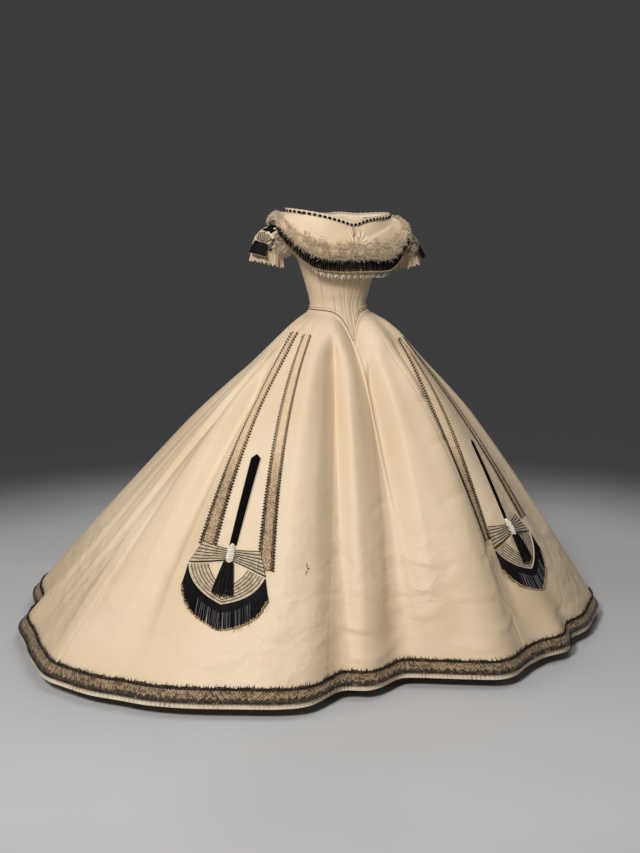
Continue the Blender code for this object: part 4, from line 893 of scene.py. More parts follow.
def bertha():
    for name, start, end, count, flat in (
        ("bertha_front_left", STRAP_ANGLE, 90, 120, (0.27, 0.13)),
        ("bertha_front_right", -90, -STRAP_ANGLE, 120, (0.27, 0.13)),
        ("bertha_back_left", 90, 180, 80, (0.28, 0.095)), ("bertha_back_right", -180, -90, 80, (0.28, 0.095)),
    ):
        angles = np.linspace(start + 0.05, end - 0.05, count)
        shares = steps(50)
        rows = bertha_point(angles, shares[:, None], bertha_detail(angles, shares[:, None]))
        Piece(name + "_silk", BERTHA_LOOK, "ivory_silk").grid(rows).done(
            replaces=[name], thickness=0.0012, flat=flat, held="gathered")
    strap = Piece("bertha_strap_silk", BERTHA_LOOK, "ivory_silk")
    across = np.linspace(-1, 1, 13)
    shares = np.linspace(0.34, 1.0, 24)
    out = 0.0042 + 0.0020 * arch(across) + 0.0003 * np.sin(shares * 60)[:, None]
    strap.grid(bertha_point(across * STRAP_ANGLE * 0.95, shares[:, None], out)).done(
        replaces=["bertha_strap"], thickness=0.0008, flat=(0.011, 0.072), held="laid")
    edge = Piece("bertha_edge_stitch", SEAM_LOOK, "ivory_silk")
    for side in (-1, 1):
        edge.tubes(bertha_point(side * STRAP_ANGLE * 1.05 + 0 * shares, shares, 0.0030), 0.0006)
    edge.done()


def filaments(roots, aims, lengths, bend):
    """Paths of four stations from the roots, bent more towards their ends."""
    t = steps(4)
    paths = roots[:, None] + aims[:, None] * (lengths[:, None] * t)[..., None]
    return paths + bend[:, None] * (lengths[:, None] * t**2)[..., None]


def ruche():
    """A gathered strip of net over the bertha's edge, under a deep fringe of blonde filaments."""
    angles = np.arange(-180, 180, 1.2)
    wave = 0.0022 * sine(angles * 24) + 0.0012 * sine(angles * 61 + 30)
    length = np.linalg.norm(bertha_point(angles, 1.0) - bertha_point(angles, 0.0), axis=-1)
    width = np.minimum(0.034, 0.62 * length)
    top = np.maximum(1 - width / length, 0.3)
    full = 0.45 + 0.55 * ease(length, 0.03, 0.09)
    rows = []
    for t in steps(9):
        rise = (0.0085 * np.sin(np.pi * t) + 0.0022) * full + wave * np.sin(np.pi * t)
        rows.append(bertha_point(angles, top + (1 - top) * t, rise))
    Piece("ruche_net", NET_LOOK, "cream_lace").grid(rows, closed=True).done(
        replaces=["bertha_ruche"], flat=(1.35, 0.045), held="gathered")
    count = 15000
    a = rng.uniform(-180, 180, count)
    spread = rng.beta(1.3, 1.3, count)
    length_at = np.interp(a, angles, length)
    top_at = np.interp(a, angles, top)
    ragged = 0.04 * sine(a * 9) + 0.04 * sine(a * 23 + 50) - 0.08 + rng.normal(0, 0.06, count)
    shares = top_at + ragged * (1 - spread) + (1.02 - top_at) * spread
    out_dir = polar(a, 1.0, 0.0)
    side_dir = polar(a + 90, 1.0, 0.0)
    down = unit(bertha_point(a, 1.0) - bertha_point(a, 0.5))
    aims = out_dir * rng.uniform(0.3, 1.0, count)[:, None] + down * rng.normal(-0.15, 0.75, count)[:, None]
    aims = aims + side_dir * rng.normal(0, 0.45, count)[:, None]
    size = rng.uniform(0.007, 0.0175, count) * np.clip(length_at / 0.10, 0.7, 1.0)
    roots = bertha_point(a, shares, 0.004 + 0.004 * np.sin(np.pi * spread))
    aims = unit(aims)
    bend = 0.6 * (np.array([0, 0, -0.30]) + rng.normal(0, 0.25, (count, 3)))
    sides = unit(np.cross(aims, rng.normal(0, 1, (count, 3))))
    Piece("ruche_filaments", FLUFF_LOOK, "cream_lace").ribbons(
        filaments(roots, aims, size, bend), sides[:, None], 0.0011 * np.array([1.0, 0.9, 0.6, 0.12])).done()


# Degrees from one clump of strands to the next.
CLUMP = 2.1


def hang(name, node, angles, tops, length, out):
    """A dense fringe that hangs from a heading, its strands drawn together in clumps."""
    t = steps(5)
    jitter = rng.normal(0, 1, (len(angles), 2))
    clump = np.radians(np.round(angles / CLUMP) * CLUMP - angles) * 0.16
    aside = 0.0007 * jitter[:, 1:] * t**2 + 0.55 * clump[:, None] * t
    paths = tops[:, None] + polar(angles, 1.0, 0.0)[:, None] * (out * t)[:, None]
    paths = paths + polar(angles + 90, 1.0, 0.0)[:, None] * aside[..., None]
    paths[..., 2] -= (length * (1 + 0.02 * jitter[:, 0]))[:, None] * t
    strands = Piece(name, FRINGE_LOOK, "black_silk").tubes(paths, 0.00068 * (1 - 0.25 * t), sides=3)
    strands.done(replaces=[node])


def bertha_fringe():
    for name, start, end, count, full in (("front", -77, 77, 420, 0.0345), ("back", 107, 253, 300, 0.0340)):
        middle = 0 if name == "front" else 180
        angles = np.linspace(start, end, count)
        away = np.abs(turn_between(angles, middle))
        edge = bertha_point(angles, 1.0)
        tops = edge + polar(angles, 0.0010, 0.0) - [0, 0, 0.001]
        length = full * (1 - 0.38 * ease(away, 45, 76))
        both = np.concatenate([tops, tops + polar(angles + 0.2, 0.0012, 0.0)])
        hang(f"bertha_fringe_{name}_strands", f"bertha_fringe_{name}",
             np.concatenate([angles, angles + 0.18]), both,
             np.concatenate([length, length * 0.985]), 0.0045)
        ends = tops + polar(angles, 0.0058, 0.0) - length[:, None] * [0, 0, 1]
        gold = Piece(f"bertha_fringe_{name}_beads", GOLD_LOOK, "black_silk")
        gold.beads(ends[::3], 0.0019, stretch=1.2).done()
        heading = Piece(f"bertha_fringe_{name}_heading", CORD_LOOK, "black_silk")
        heading.tubes(edge + polar(angles, 0.0018, -0.0005), 0.0016, sides=6)
        heading.tubes(edge + polar(angles, 0.0020, -0.0036), 0.0012, sides=6)
        heading.done()


def cream_frill():
    """Blonde lace in scallops, made of its own threads, behind the fringe."""
    for name, start, end in (("front", -72, 72), ("back", 112, 248)):
        middle = 0 if name == "front" else 180
        angles = np.arange(start, end, 0.5)
        away = np.abs(turn_between(angles, middle))
        length = 0.052 * (1 - 0.62 * ease(away, 40, 72))
        wave = 0.0045 * np.cos(np.radians(angles * 45))
        edge = bertha_point(angles, 1.0) - [0, 0, 0.0016]

        def spot(a, f):
            """A place on the gathered lace, f from its top to its foot."""
            a = np.clip(a, start, end - 0.5)
            top = np.stack([np.interp(a, angles, edge[:, k]) for k in range(3)], axis=-1)
            out = -0.0040 + (np.interp(a, angles, wave) - 0.0012) * f
            drop = np.interp(a, angles, length) * f
            point = top + polar(a, out, 0.0)
            point[..., 2] -= drop
            return point

        net = Piece(f"bertha_frill_{name}_net", NET_LOOK, "cream_lace")
        net.grid([spot(angles, f) for f in np.linspace(0.0, 0.62, 5)])
        net.done(replaces=[f"bertha_frill_{name}"], flat=(0.42, 0.034), held="gathered")
        lace = Piece(f"bertha_frill_{name}_lace", CREAM_LOOK, "cream_lace")
        step = 4.0
        t = steps(13)
        for a0 in np.arange(start, end - step, step):
            jitter = rng.uniform(0.94, 1.06)
            for depth in (1.0, 0.90, 0.80):
                f = 0.60 + (depth * jitter - 0.60) * np.sin(np.pi * t) ** 0.6
                half = 1 - (1 - depth) * 1.2
                lace.tubes(spot(a0 + step / 2 + (t - 0.5) * step * half, f),
                           0.0010 if depth == 1.0 else 0.0007, sides=3)
            for lean in np.linspace(-1, 1, 7):
                line = steps(5)
                f = 0.58 + (0.40 * (1 - 0.55 * lean**2) * jitter) * line
                lace.tubes(spot(a0 + step / 2 + lean * step * 0.42 * line**0.8, f), 0.0006, sides=3)
            loops = np.linspace(0.08, 0.92, 7)
            lace.beads(spot(a0 + loops * step, 0.62 + (1.0 * jitter - 0.60) * np.sin(np.pi * loops) ** 0.6),
                       0.0010, sides=4)
        lace.done()


# Sleeves.

# Columns: share from shoulder to cuff, to the side, forward, height, tilt, radius upwards, radius forwards.
SLEEVE = (
    (0.00, 0.1487, 0.006, 0.2161, 4.0, 0.0360, 0.048), (0.20, 0.1730, 0.007, 0.2100, 16.0, 0.0410, 0.054),
    (0.50, 0.2015, 0.008, 0.1990, 38.0, 0.0480, 0.058), (0.80, 0.2205, 0.007, 0.1820, 62.0, 0.0510, 0.058),
    (1.00, 0.2265, 0.006, 0.1630, 76.0, 0.0495, 0.055),
)


def sleeve_point(share, turn, out, side):
    """A place on a sleeve: share along it, turn round it from the top towards the front."""
    share, turn, out = arrays(share, turn, out)
    x, y, z, tilt, up_radius, side_radius = (curve(SLEEVE, k, share) for k in range(1, 7))
    if side > 0:
        z = z - SHOULDER_SLIP * ease(share, 0.0, 0.6)
    a = np.radians(tilt)
    t = np.radians(turn)
    up = np.stack([np.sin(a), 0 * a, np.cos(a)], axis=-1)
    point = np.stack([x, y, z], axis=-1) + up * (np.cos(t) * (up_radius + out))[..., None]
    point[..., 1] -= np.sin(t) * (side_radius + out)
    point[..., 0] *= side
    return point


def sleeve(word, side):
    """A short sleeve with its trimming; side is 1 at the wearer's left and -1 at the right."""

    def piece(part, look, slot):
        return Piece(f"sleeve_{word}_{part}", look, slot)

    def spot(share, turn, out):
        return sleeve_point(share, turn, out, side)

    shares = steps(30)
    turns = np.arange(0, 360, 3.0)
    puffs = 0.0022 * sine(turns * 12) * np.sin(np.pi * shares)[:, None]
    puffs = puffs + 0.0014 * np.sin(shares * 40)[:, None] * np.cos(np.radians(turns * 5))
    rows = spot(shares[:, None], turns, -0.0010 + puffs)
    piece("silk", BERTHA_LOOK, "ivory_silk").grid(rows, closed=True, flip=side > 0).done(
        replaces=[f"sleeve_{word}"], thickness=0.0010, flat=(0.37, 0.115), held="gathered")

    # Braid in a fan and in arcs, with dark cords between its rows.
    fan = piece("fan", BRAID_LOOK, "cream_braid")
    t = steps(14)
    for k in range(9):
        turn0 = 50 + 6.0 * k
        line = spot(0.26 + 0.30 * t, turn0 + (72 - turn0) * 0.40 * t, 0.0022)
        fan.tubes(line, 0.0017 * (1 - 0.4 * t), sides=6)
    fan.done(replaces=[f"sleeve_stripes_{word}"])
    arcs = piece("arcs", BRAID_LOOK, "cream_braid")
    dark = piece("dark_cords", CORD_LOOK, "black_velvet")
    u = np.linspace(-1, 1, 17)
    for k in range(5):
        size = 0.25 + 0.20 * k
        line = spot(0.60 + 0.24 * size * arch(u * 0.96), 36 + 24 * size * u, 0.0030)
        arcs.tubes(line, 0.0014, sides=5)
        size += 0.10
        line = spot(0.60 + 0.24 * size * arch(u * 0.96), 36 + 25 * size * u, 0.0028)
        dark.tubes(line, 0.0010, sides=5)
    for k in range(8):
        turn0 = 53 + 6.0 * k
        line = spot(0.26 + 0.30 * t, turn0 + (72 - turn0) * 0.40 * t, 0.0022)
        dark.tubes(line, 0.0010 * (1 - 0.4 * t), sides=5)
    arcs.done(replaces=[f"sleeve_braid_{word}"])
    dark.done()

    # Velvet wedge and band, with pearls along the band.
    velvet = piece("velvet", VELVET_LOOK, "black_velvet")
    v = steps(12)
    wedge = 0.34 + (0.26 - 0.02 * v) * v[:, None]
    velvet.grid(spot(wedge, 4 + 42 * v, 0.0016), flip=side > 0)
    velvet.done(replaces=[f"sleeve_velvet_{word}"], thickness=0.0012, flat=(0.045, 0.040), held="laid")
    band = piece("band", VELVET_LOOK, "black_velvet")
    rise = 0.0018 + 0.0008 * np.sin(np.pi * v)
    band.grid(spot(0.56 + 0.42 * v[:, None], 66 + 14 * v, rise), flip=side > 0)
    band.done(replaces=[f"sleeve_band_{word}"], thickness=0.0012, flat=(0.015, 0.045), held="laid")
    pearls = piece("pearls", PEARL_LOOK, "white_knob")
    n = np.arange(11)
    pearls.beads(spot(0.58 + 0.038 * n, 68.5 + 0 * n, 0.0042), 0.0011)
    pearls.beads(spot(0.60 + 0.038 * n, 78.5 + 0 * n, 0.0042), 0.0011)
    pearls.done()

    # Fringe of two layers with a gold bead at each end.
    turns = np.linspace(10, 63, 74)
    t = steps(5)
    tops = spot(0.855, turns, 0.0022)
    fall = unit(unit(spot(1.0, turns, 0.012) - spot(0.90, turns, 0.0018)) + [0, 0, -0.45])
    length = 0.041 * (1 + rng.normal(0, 0.012, len(turns)))
    paths = tops[:, None] + fall[:, None] * (length[:, None] * t)[..., None]
    strands = piece("fringe", FRINGE_LOOK, "black_silk")
    strands.tubes(paths, 0.0008, sides=4)
    strands.tubes(paths + np.array([side * 0.0006, -0.0006, 0.0004]), 0.0008, sides=4)
    strands.done(replaces=[f"sleeve_fringe_{word}"])
    gold = piece("gold_edge", GOLD_LOOK, "black_silk")
    gold.beads(paths[:, -1], 0.0015, sides=5)
    gold.beads(spot(0.99, np.linspace(67, 79, 10), 0.0032), 0.0013, sides=5)
    gold.done()

    # Lace frill at the cuff.
    turns = np.arange(0, 360, 1.875)
    axis = unit(spot(1.0, turns, 1.0) - spot(1.0, turns, 0.0))
    along = np.array([side * 0.12, 0, -0.99])
    wave = 0.0050 * sine(turns * 8) + 0.0015 * sine(turns * 31)
    start = spot(1.0, turns, -0.0012)
    depth = 0.034 * (1 + 0.10 * np.cos(np.radians(turns * 24)))
    rows = [start + along * (depth * f)[:, None] + axis * (wave * f)[:, None] for f in steps(9)]
    piece("frill", NET_LOOK, "cream_lace").grid(rows, closed=True, flip=side > 0).done(
        replaces=[f"sleeve_frill_{word}"], flat=(0.42, 0.034), held="gathered")
    lace = piece("frill_lace", CREAM_LOOK, "cream_lace")
    lace.tubes(rows[-1], 0.0008, sides=4, closed=True)
    lace.tubes(rows[-3], 0.0005, sides=4, closed=True)
    lace.beads(rows[-1][::3] + along * 0.001, 0.0012, sides=4)
    lace.done()

    # Puffs of lace at the armhole, in front.
    count = 2600
    turn = rng.normal(112, 22, count)
    share = rng.uniform(0.10, 0.92, count)
    roots = spot(share, turn, 0.001 + 0.008 * rng.random(count))
    outward = unit(spot(share, turn, 1.0) - spot(share, turn, 0.0))
    aims = unit(outward * 0.8 + rng.normal(0, 0.7, (count, 3)) + [0, 0, -0.5])
    size = rng.uniform(0.006, 0.012, count)
    paths = filaments(roots, aims, size, rng.normal(0, 0.3, (count, 3)))
    sides = unit(np.cross(aims, rng.normal(0, 1, (count, 3))))
    piece("lace_puffs", FLUFF_LOOK, "cream_lace").ribbons(
        paths, sides[:, None], 0.0018 * np.array([1, 0.9, 0.6, 0.2])).done()


# Hem.

# Rows of the lace, from the top down. Columns: depth below LACE_TOP_Z, out of the silk, share of the ruffle.
LACE_ROWS = (
    (-0.0050, 0.0062, 0.0022), (-0.0025, 0.0044, 0.0014), (0.0, 0.0030, 0.0002), (0.003, 0.0026, 0.0003),
    (0.008, 0.0028, 0.0005), (0.014, 0.0030, 0.0006), (0.020, 0.0034, 0.0007), (0.026, 0.0038, 0.0008),
    (0.031, 0.0040, 0.0009),
)
# Gathers and pleats take this many times the run round the hem.
FULLNESS = 1.2


def hem():
    """Black lace with a frayed header and ivory pleating under it, in a front and a back length."""
    for word, start, end in (("front", -90, 90), ("back", 90, 270)):
        angles = np.arange(start, end + 0.01, 0.25)
        radius = skirt_radius(angles, HEM_Z, False)
        run = np.concatenate([[0], np.cumsum(np.radians(0.25) * (radius[1:] + radius[:-1]) / 2)])
        ruffle = np.sin(run / 0.011) + 0.6 * np.sin(run / 0.0047 + 1.0)
        slow = np.sin(run / 0.085) * 0.5 + np.sin(run / 0.031 + 2.0) * 0.3
        rows = [on_skirt(angles, LACE_TOP_Z - down + (0.0012 * ruffle if k == 0 else 0),
                         out + amount * ruffle + 0.0008 * slow)
                for k, (down, out, amount) in enumerate(LACE_ROWS)]
        down = np.array(LACE_ROWS)[:, 0]
        v = (down - down[0]) / (down[-1] - down[0])
        Piece(f"hem_lace_{word}_net", LACE_LOOK, "black_lace").grid(rows, u=run, v=v).done(
            replaces=[f"hem_lace_{word}"], flat=(run[-1] * FULLNESS, 0.037), held="gathered")
        trim = Piece(f"hem_lace_{word}_edge", LACE_THREAD_LOOK, "black_lace")
        trim.tubes(on_skirt(angles, LACE_TOP_Z - 0.001, 0.0042 + 0.0004 * ruffle), 0.0011, sides=5)
        count = int(run[-1] / 0.0038)
        picks = np.interp(np.linspace(0, run[-1], count), run, angles)
        t = steps(4)
        tall = (0.0045 + 0.0075 * rng.random(count))[:, None] * t
        lean = rng.normal(0, 0.35, count)[:, None] * t
        out = 0.0050 + (0.0012 + 0.0022 * rng.random(count))[:, None] * t
        paths = on_skirt(picks[:, None] + lean, LACE_TOP_Z + 0.001 + tall, out)
        trim.ribbons(paths, unit(polar(picks + 90, 1.0, 0.0) + rng.normal(0, 0.35, (count, 3)))[:, None],
                     0.0046 * np.array([1.0, 0.8, 0.45, 0.10]))
        joins = np.interp(np.cumsum(rng.uniform(0.16, 0.45, 30)), run, angles)
        joins = np.unique(joins[joins < end - 0.5])
        heights = LACE_TOP_Z - np.linspace(0.0, 0.029, 6)
        trim.ribbons(on_skirt(joins[:, None], heights, 0.0052), polar(joins + 90, 1.0, 0.0)[:, None], 0.0014)
        count = int(run[-1] / 0.0050)
        picks = np.interp(np.linspace(0, run[-1], count), run, angles)
        t = steps(3)
        paths = on_skirt(picks[:, None] + 0 * t, HEM_Z + 0.0035 - 0.0075 * t, 0.0050)
        trim.ribbons(paths, polar(picks + 90, 1.0, 0.0)[:, None], 0.0042 * np.array([1.0, 0.8, 0.1]))
        trim.done()

        angles = np.arange(start, end + 0.01, 0.10)
        fold = np.abs(angles / PLEAT_ANGLE % 2 - 1)
        top = on_skirt(angles, HEM_Z + 0.001, 0.0004)
        rows = []
        for f in steps(3):
            low = top + polar(angles, 0.002 * f + 0.0024 * (fold - 0.5) * (0.3 + 0.7 * f), 0.0)
            low[:, 2] -= 0.015 * f
            rows.append(low)
        pleats = Piece(f"hem_pleating_{word}_silk", PLEATING_LOOK, "ivory_silk")
        pleats.grid(rows, u=angles, v=steps(3))
        pleats.done(replaces=[f"hem_pleating_{word}"], flat=(run[-1] * FULLNESS, 0.0155), held="gathered")


# Lace bands and ornaments on the skirt.

# Columns: node, angle and depth at the top, angle and depth at the foot, width at the top and at the foot.
BANDS = (
    ("lace_band_right_outer", -65.0, 0.072, -54.9, 0.612, 0.027, 0.047),
    ("lace_band_right_inner", -53.0, 0.078, -40.2, 0.672, 0.026, 0.043),
    ("lace_band_left_inner", 54.0, 0.100, 28.2, 0.660, 0.024, 0.042),
    ("lace_band_left_outer", 64.0, 0.100, 52.8, 0.640, 0.022, 0.040),
)
# Columns: side, angle and depth of the knob, angle of the stem's top, lean, swing, strands' swing.
ORNAMENTS = (("right", -48.9, 0.637, -50.6, 9.0, 0.095, 0.12), ("left", 40.0, 0.648, 47.2, -3.0, 0.018, 0.0))
# Length down the slope for each metre of depth, and depth for each metre down an ornament.
SLOPE = 1.18
SLOPE_SHARE = 0.82
ORNAMENT_OUT = 0.0032
STEM_LENGTH = 0.300
STEM_WIDTH = 0.024
STEM_END_WIDTH = 0.019
KNOB_LENGTH = 0.066
FAN_HALF_WIDTH = 0.108


def band_spot(row, share, across, out):
    """A place on a band: share from top to foot, across from -1 to 1."""
    _, top_angle, top, end_angle, end, top_width, end_width = row
    share, across = arrays(share, across)
    z = -(top + (end - top) * share)
    angle = top_angle + (end_angle - top_angle) * share**0.6
    width = top_width + (end_width - top_width) * share
    half = np.degrees(width / 2 / skirt_radius(angle, z, False))
    return on_skirt(angle + half * across, z, out)


def lace_bands():
    """The four bands of dotted net, with dark picots and teeth along both edges."""
    for row in BANDS:
        name = row[0]
        length = (row[4] - row[2]) * SLOPE
        shares = steps(150)
        across = np.linspace(-1, 1, 13)
        points = band_spot(row, shares[:, None], across, 0.0024)
        u = np.broadcast_to((shares * length)[:, None], points.shape[:2])
        v = np.broadcast_to(across * 0.5 + 0.5, points.shape[:2])
        Piece(name + "_net", BAND_LOOK, "black_lace").grid(points, u=u, v=v).done(
            replaces=[name], flat=(0.036, length * 1.1), held="laid", area=length * 0.0363)
        edges = Piece(name + "_picots", LACE_THREAD_LOOK, "black_lace")
        count = int(length / 0.0085)
        spots = (np.arange(count) + 0.5) / count
        for side in (-1, 1):
            edges.beads(band_spot(row, spots, side * 0.66, 0.0030), 0.0021)
            teeth = band_spot(row, np.minimum(spots[:, None] + 0.5 / count, 1),
                              side * np.array([0.84, 1.0, 1.18]), 0.0032)
            edges.tubes(teeth, np.array([0.0024, 0.0022, 0.0008]), sides=4)
        edges.done()


def ornament_point(row, u, v, out, leaning=True):
    """A place on the skirt, u across and v down from the ornament's knob, in metres."""
    _, angle, below, _, lean, swing, _ = row
    u, v = arrays(u, v)
    if leaning:
        a = math.radians(lean)
        u, v = u * math.cos(a) + v * swing, v * math.cos(a) + u * math.sin(a)
    z = -(below + v * SLOPE_SHARE)
    radius = skirt_radius(angle, z, False)
    return on_skirt(angle + np.degrees(u / radius), z, out)


def bezier(a, b, c, t):
    a, b, c = (np.array(p, float) for p in (a, b, c))
    t = np.asarray(t)[..., None]
    return a * (1 - t) ** 2 + b * 2 * t * (1 - t) + c * t * t


def fan_edge(share, inner):
    """Across and down of the fan's outer or inner edge, -1 at one wing, 0 at the point, 1 at the other."""
    share = np.asarray(share, float)
    if inner:
        spot = bezier((0.055, 0.036), (0.037, 0.076), (0, 0.100), 1 - np.abs(share))
    else:
        spot = bezier((FAN_HALF_WIDTH, 0.050), (FAN_HALF_WIDTH * 0.82, 0.116), (0, 0.144), 1 - np.abs(share))
    return np.where(share >= 0, 1, -1) * spot[..., 0], spot[..., 1]


def ornament(row):
    """Stem, wings, arcs, knob, tassel and fringe of one ornament."""
    word, angle, below, stem_angle, _, _, strand_swing = row

    def piece(part, look, slot):
        return Piece(f"ornament_{word}_{part}", look, slot)

    def spot(u, v, out, leaning=True):
        return ornament_point(row, u, v, ORNAMENT_OUT + out, leaning)

    # Stem.
    share = np.concatenate([[0, 0.004, 0.012, 0.025], np.linspace(0.045, 1, 46)])
    v = -STEM_LENGTH + (STEM_LENGTH - KNOB_LENGTH / 2 + 0.006) * share
    half = (STEM_WIDTH + (STEM_END_WIDTH - STEM_WIDTH) * share) / 2 * np.minimum(0.05 + share / 0.045, 1.0)
    radius = float(skirt_radius(angle, -below, False))
    middle = np.radians(turn_between(stem_angle, angle)) * radius * (-v / STEM_LENGTH) * 0.86
    across = np.linspace(-1, 1, 9)
    points = spot(middle[:, None] + half[:, None] * across, v[:, None] + 0 * across,
                            0.0016 * arch(across), False)
    piece("stem", VELVET_LOOK, "black_velvet").grid(points).done(
        replaces=[f"ornament_stem_{word}"], thickness=0.0012, flat=(0.022, 0.30), held="laid")
    piping = piece("stem_edge", PIPING_LOOK, "cream_braid")
    for side in (-1, 1):
        piping.tubes(spot(middle + side * (half + 0.0008), v, -0.0004, False), 0.0009)
    piping.done()

    # Wings: braid with dark cords that spread from the knob.
    wing = piece("wings", BRAID_LOOK, "cream_braid")
    cords = piece("dark_cords", CORD_LOOK, "black_velvet")
    rows = 6
    t = steps(rows * 4 + 1)
    ridge = 0.0012 * np.abs(np.sin(np.pi * t * rows)) ** 0.7
    for side in (-1, 1):
        s = np.linspace(0.10, 1, 26)
        spread = np.maximum(s - 0.13, 0) / 0.87
        top = -0.015 - 0.009 * spread
        low = 0.018 + 0.026 * spread
        down = top[:, None] + (low - top)[:, None] * t
        cut = 1 - 0.27 * spread[:, None] * (1 - t)
        wing.grid(spot(side * s[:, None] * FAN_HALF_WIDTH * cut, down, 0.0006 + ridge), flip=side > 0)
        for k in range(rows + 1):
            down = top + (low - top) * k / rows
            cut = 1 - 0.27 * spread * (1 - k / rows)
            cords.tubes(spot(side * s * FAN_HALF_WIDTH * cut, down, 0.0014), 0.0013, sides=5)
        k = steps(12)
        cords.tubes(spot(side * FAN_HALF_WIDTH * (0.73 + 0.27 * k), -0.024 + 0.068 * k, 0.0012), 0.0007,
                    sides=5)
    wing.done(replaces=[f"ornament_bow_{word}"], thickness=0.0008)

    # Arcs.
    arc = piece("arc", BRAID_LOOK, "cream_braid")
    s = np.linspace(-1, 1, 81)
    u0, v0 = fan_edge(s, True)
    u1, v1 = fan_edge(s, False)
    down = v0[:, None] + (v1 - v0)[:, None] * t
    arc.grid(spot(u0[:, None] + (u1 - u0)[:, None] * t, down, -0.0006 + ridge))
    arc.done(replaces=[f"ornament_arc_{word}"], thickness=0.0008)
    for k in range(rows):
        f = k / rows
        cords.tubes(spot(u0 + (u1 - u0) * f, v0 + (v1 - v0) * f, 0.0006), 0.0012, sides=5)
    cords.done()
    rim = piece("rim", PIPING_LOOK, "cream_braid")
    rim.tubes(spot(u1, v1, 0.0010), 0.0019, sides=7)
    rim.done()

    # Knob of worked cotton.
    knob = piece("knob", KNOB_LOOK, "white_knob")
    k = np.arange(150)
    down = rng.random(150) - 0.5
    full = arch(down * 2)
    turn = rng.random(150) * np.pi
    centres = spot(0.0092 * full * np.cos(turn), down * (KNOB_LENGTH - 0.006),
                   0.003 + 0.0080 * full * np.sin(turn))
    knob.beads(centres, 0.0021 + 0.0010 * rng.random(150), axis=rng.normal(0, 1, (150, 3)), sides=7)
    t = np.linspace(0.03, 0.97, 13)
    core = spot(0 * t, (t - 0.5) * KNOB_LENGTH, 0.005)
    knob.tubes(core, 0.0092 * np.sin(np.pi * t) ** 0.5, sides=12, flat=0.7)
    knob.done(replaces=[f"ornament_knob_{word}"])

    # Tassel.
    count = 90
    a = rng.uniform(-1, 1, count)
    depth = rng.uniform(0, 1, count)
    t = steps(7)
    u = a[:, None] * (0.0125 + 0.0175 * t)
    length = 0.097 * (1 - 0.06 * a**2 + 0.03 * rng.normal(0, 1, count))
    v = KNOB_LENGTH / 2 - 0.010 + length[:, None] * t
    lift = 0.0035 + 0.0055 * depth[:, None] * np.sin(np.pi * (0.25 + 0.75 * t)) + 0.001
    tassel = piece("tassel", FRINGE_LOOK, "black_silk")
    paths = spot(u, v, lift)
    tassel.tubes(paths, 0.0013, sides=5)
    tassel.done(replaces=[f"ornament_tassel_{word}"])
    foot = piece("tassel_beads", GOLD_LOOK, "black_silk")
    foot.beads(paths[::2, -1], 0.0015, sides=5)
    foot.beads(paths[1::3, -2], 0.0013, sides=5)
    foot.done()

    # Fringe round the fan's outer edge.
    count = 300
    s = np.linspace(-1, 1, count)
    u1, v1 = fan_edge(s, False)
    run = np.concatenate([[0], np.cumsum(np.hypot(np.diff(u1), np.diff(v1)))])
    s = np.interp(np.linspace(0, run[-1], count), run, s)
    u1, v1 = fan_edge(s, False)
    du, dv = np.gradient(u1), np.gradient(v1)
    size = np.hypot(du, dv)
    aim_u, aim_v = -dv / size, du / size
    sign = np.where(aim_v < 0, -1, 1)
    aim_u, aim_v = 0.22 * aim_u * sign + strand_swing, 0.22 * aim_v * sign + 1.0
    size = np.hypot(aim_u, aim_v)
    aim_u, aim_v = aim_u / size, aim_v / size
    length = 0.072 * (1 - 0.12 * ease(np.abs(s), 0.55, 1.0))
    t = steps(7)
    strands = piece("fringe", FRINGE_LOOK, "black_silk")
    glint_strands = piece("fringe_glints", GLINT_LOOK, "black_silk")
    for layer, lift in ((0, 0.0016), (1, 0.0034)):
        sway = rng.normal(0, 0.0020, count)
        reach = length * (1 + rng.normal(0, 0.012, count))
        u = u1[:, None] + aim_u[:, None] * reach[:, None] * t + sway[:, None] * t**2
        v = v1[:, None] + aim_v[:, None] * reach[:, None] * t
        paths = spot(u, v, -0.0010 + lift * (1 - 0.4 * t))
        strands.tubes(paths, 0.0011 * (1 - 0.2 * t), sides=3)
        if layer == 1:
            ends = paths[:, -1]
            # A few pale grey strands over the fringe's middle: painted glints on the black silk.
            picks = rng.choice(np.arange(int(count * 0.22), int(count * 0.78)), 30, replace=False)
            out = unit(polar(angle, 1.0, 0.25))
            glint_strands.tubes(paths[picks, 2:] + out * 0.0006, 0.00035, sides=4)
    strands.done(replaces=[f"ornament_fringe_{word}"])
    glint_strands.done()
    gold = piece("gold_edge", GOLD_LOOK, "black_silk")
    gold.beads(ends[::2], 0.0022, sides=5)
    gold.done()
    # A few ravelled threads at the lower edge.
    t = steps(6)
    loose = piece("loose_threads", SEAM_LOOK, "cream_lace")
    picks = rng.choice(np.arange(int(count * 0.55), count), 34, replace=False)
    roots = ends[picks]
    wander = rng.normal(0, 0.008, (34, 3))
    paths = roots[:, None] + wander[:, None] * t[None, :, None] + np.array([0, 0, -0.010]) * t[None, :, None]
    loose.tubes(paths, 0.0004, sides=3)
    loose.done()


# Camera, floor and light.


# The photograph's view.
EYE = (-1.563, -3.682, 0.301)
YAW = math.radians(23)
TILT = math.radians(9.72)
LENS = 54.39
SHIFT = -0.0209


def camera():
    data = bpy.data.cameras.new("camera")
    data.sensor_width = 36
    data.lens = LENS
    data.shift_x = SHIFT
    made = link_new("camera", data)
    ahead = Vector((math.sin(YAW) * math.cos(TILT), math.cos(YAW) * math.cos(TILT), -math.sin(TILT)))
    right = Vector((math.cos(YAW), -math.sin(YAW), 0))
    turn = Matrix((right, right.cross(ahead), -ahead)).transposed().to_4x4()
    turn.translation = Vector(EYE)
    made.matrix_world = turn
    bpy.context.scene.camera = made


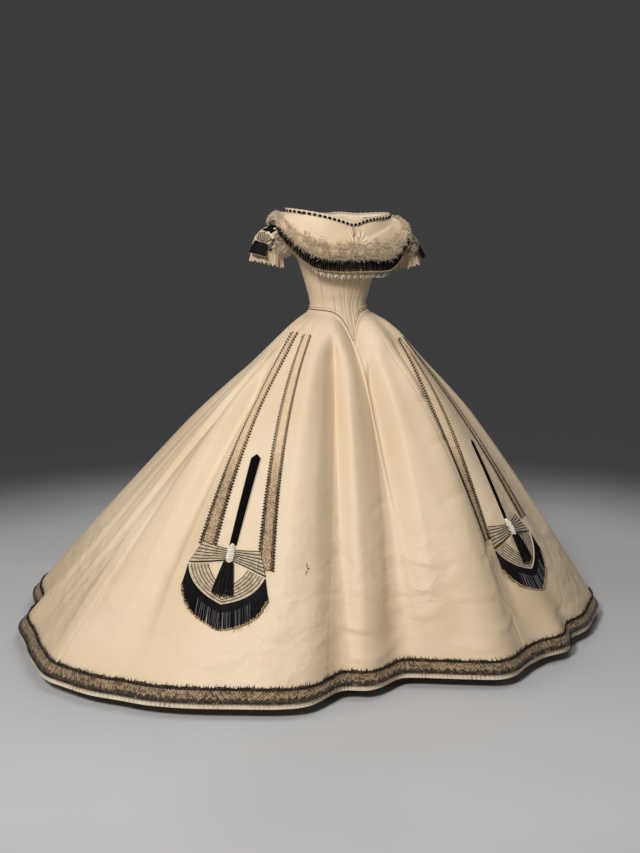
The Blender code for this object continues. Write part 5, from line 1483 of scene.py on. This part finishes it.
def area_light(name, place, target, size, power, colour):
    data = bpy.data.lights.new(name, "AREA")
    data.shape = "RECTANGLE"
    data.size, data.size_y = size
    data.energy = power
    data.color = colour
    made = link_new(name, data)
    made.location = place
    made.visible_camera = False
    made.rotation_euler = (Vector(target) - Vector(place)).to_track_quat("-Z", "Y").to_euler()


BACKDROP = (0.046, 0.046, 0.047)
# Where the floor's painted fade into the backdrop starts, and where it ends.
PAINTED_FADE = (1.45, 2.9)
FLOOR_REACH = 60.0
# Columns: name, place, target, sides, power, colour.
LIGHTS = (
    ("key", (-3.0, -3.4, 2.6), (0, 0, -0.4), (0.9, 0.9), 200, (1.0, 0.975, 0.94)),
    ("side", (-4.3, 0.6, 1.7), (0, 0, -0.4), (1.4, 2.0), 22, (1.0, 0.98, 0.95)),
    ("fill", (3.8, -2.6, 1.4), (0, 0, -0.3), (2.4, 2.4), 8, (1.0, 0.98, 0.95)),
    ("top", (0.2, -1.2, 3.8), (0, -0.6, -0.9), (2.6, 2.0), 44, (1.0, 0.98, 0.95)),
    ("back", (1.8, 3.0, 2.4), (0, 0, -0.2), (2.0, 1.6), 24, (1.0, 0.98, 0.96)),
)


def studio():
    """A pale floor that fades into the dark backdrop all round, by painted darkening and a painted glow of
    the backdrop's colour further out, and soft lights.
    """
    look = Look("studio_floor", 0.7, Specular_IOR_Level=0.05, Emission_Color=(*BACKDROP, 1))
    pale = look.ramp(look.noise(look.place, 1.2, 2.0), (0.3, (0.53, 0.535, 0.55)), (0.7, (0.58, 0.585, 0.60)))
    flat = look.vectors("MULTIPLY", look.place, (1, 1, 0))
    away = look.node("ShaderNodeVectorMath", {0: flat}, 1, operation="LENGTH")
    # Further out the floor's colour is painted near black and it glows with the backdrop's colour: a painted
    # falloff and a painted glow, though the floor is no lamp.
    fade = look.ease(away, *PAINTED_FADE)
    look.paint(look.mix(fade, pale, (0.006, 0.006, 0.006)))
    look.put(look.shader, "Emission Strength", fade * 0.93)
    mesh = bpy.data.meshes.new("floor")
    corners = [(x * FLOOR_REACH, y * FLOOR_REACH, FLOOR_Z) for x, y in ((-1, -1), (1, -1), (1, 1), (-1, 1))]
    mesh.from_pydata(corners, [], [(0, 1, 2, 3)])
    mesh.materials.append(look.material)
    link_new("floor", mesh)
    world = bpy.data.worlds.new("studio")
    world.use_nodes = True
    world.node_tree.nodes["Background"].inputs[0].default_value = (*BACKDROP, 1)
    world.node_tree.nodes["Background"].inputs[1].default_value = 1.0
    bpy.context.scene.world = world
    bpy.context.scene.view_settings.view_transform = "Standard"
    for light in LIGHTS:
        area_light(*light)


skirt_gores()
stitched_mark()
bodice()
neck_band()
bertha()
ruche()
bertha_fringe()
cream_frill()
sleeve("left", 1)
sleeve("right", -1)
hem()
lace_bands()
for row in ORNAMENTS:
    ornament(row)
camera()
studio()
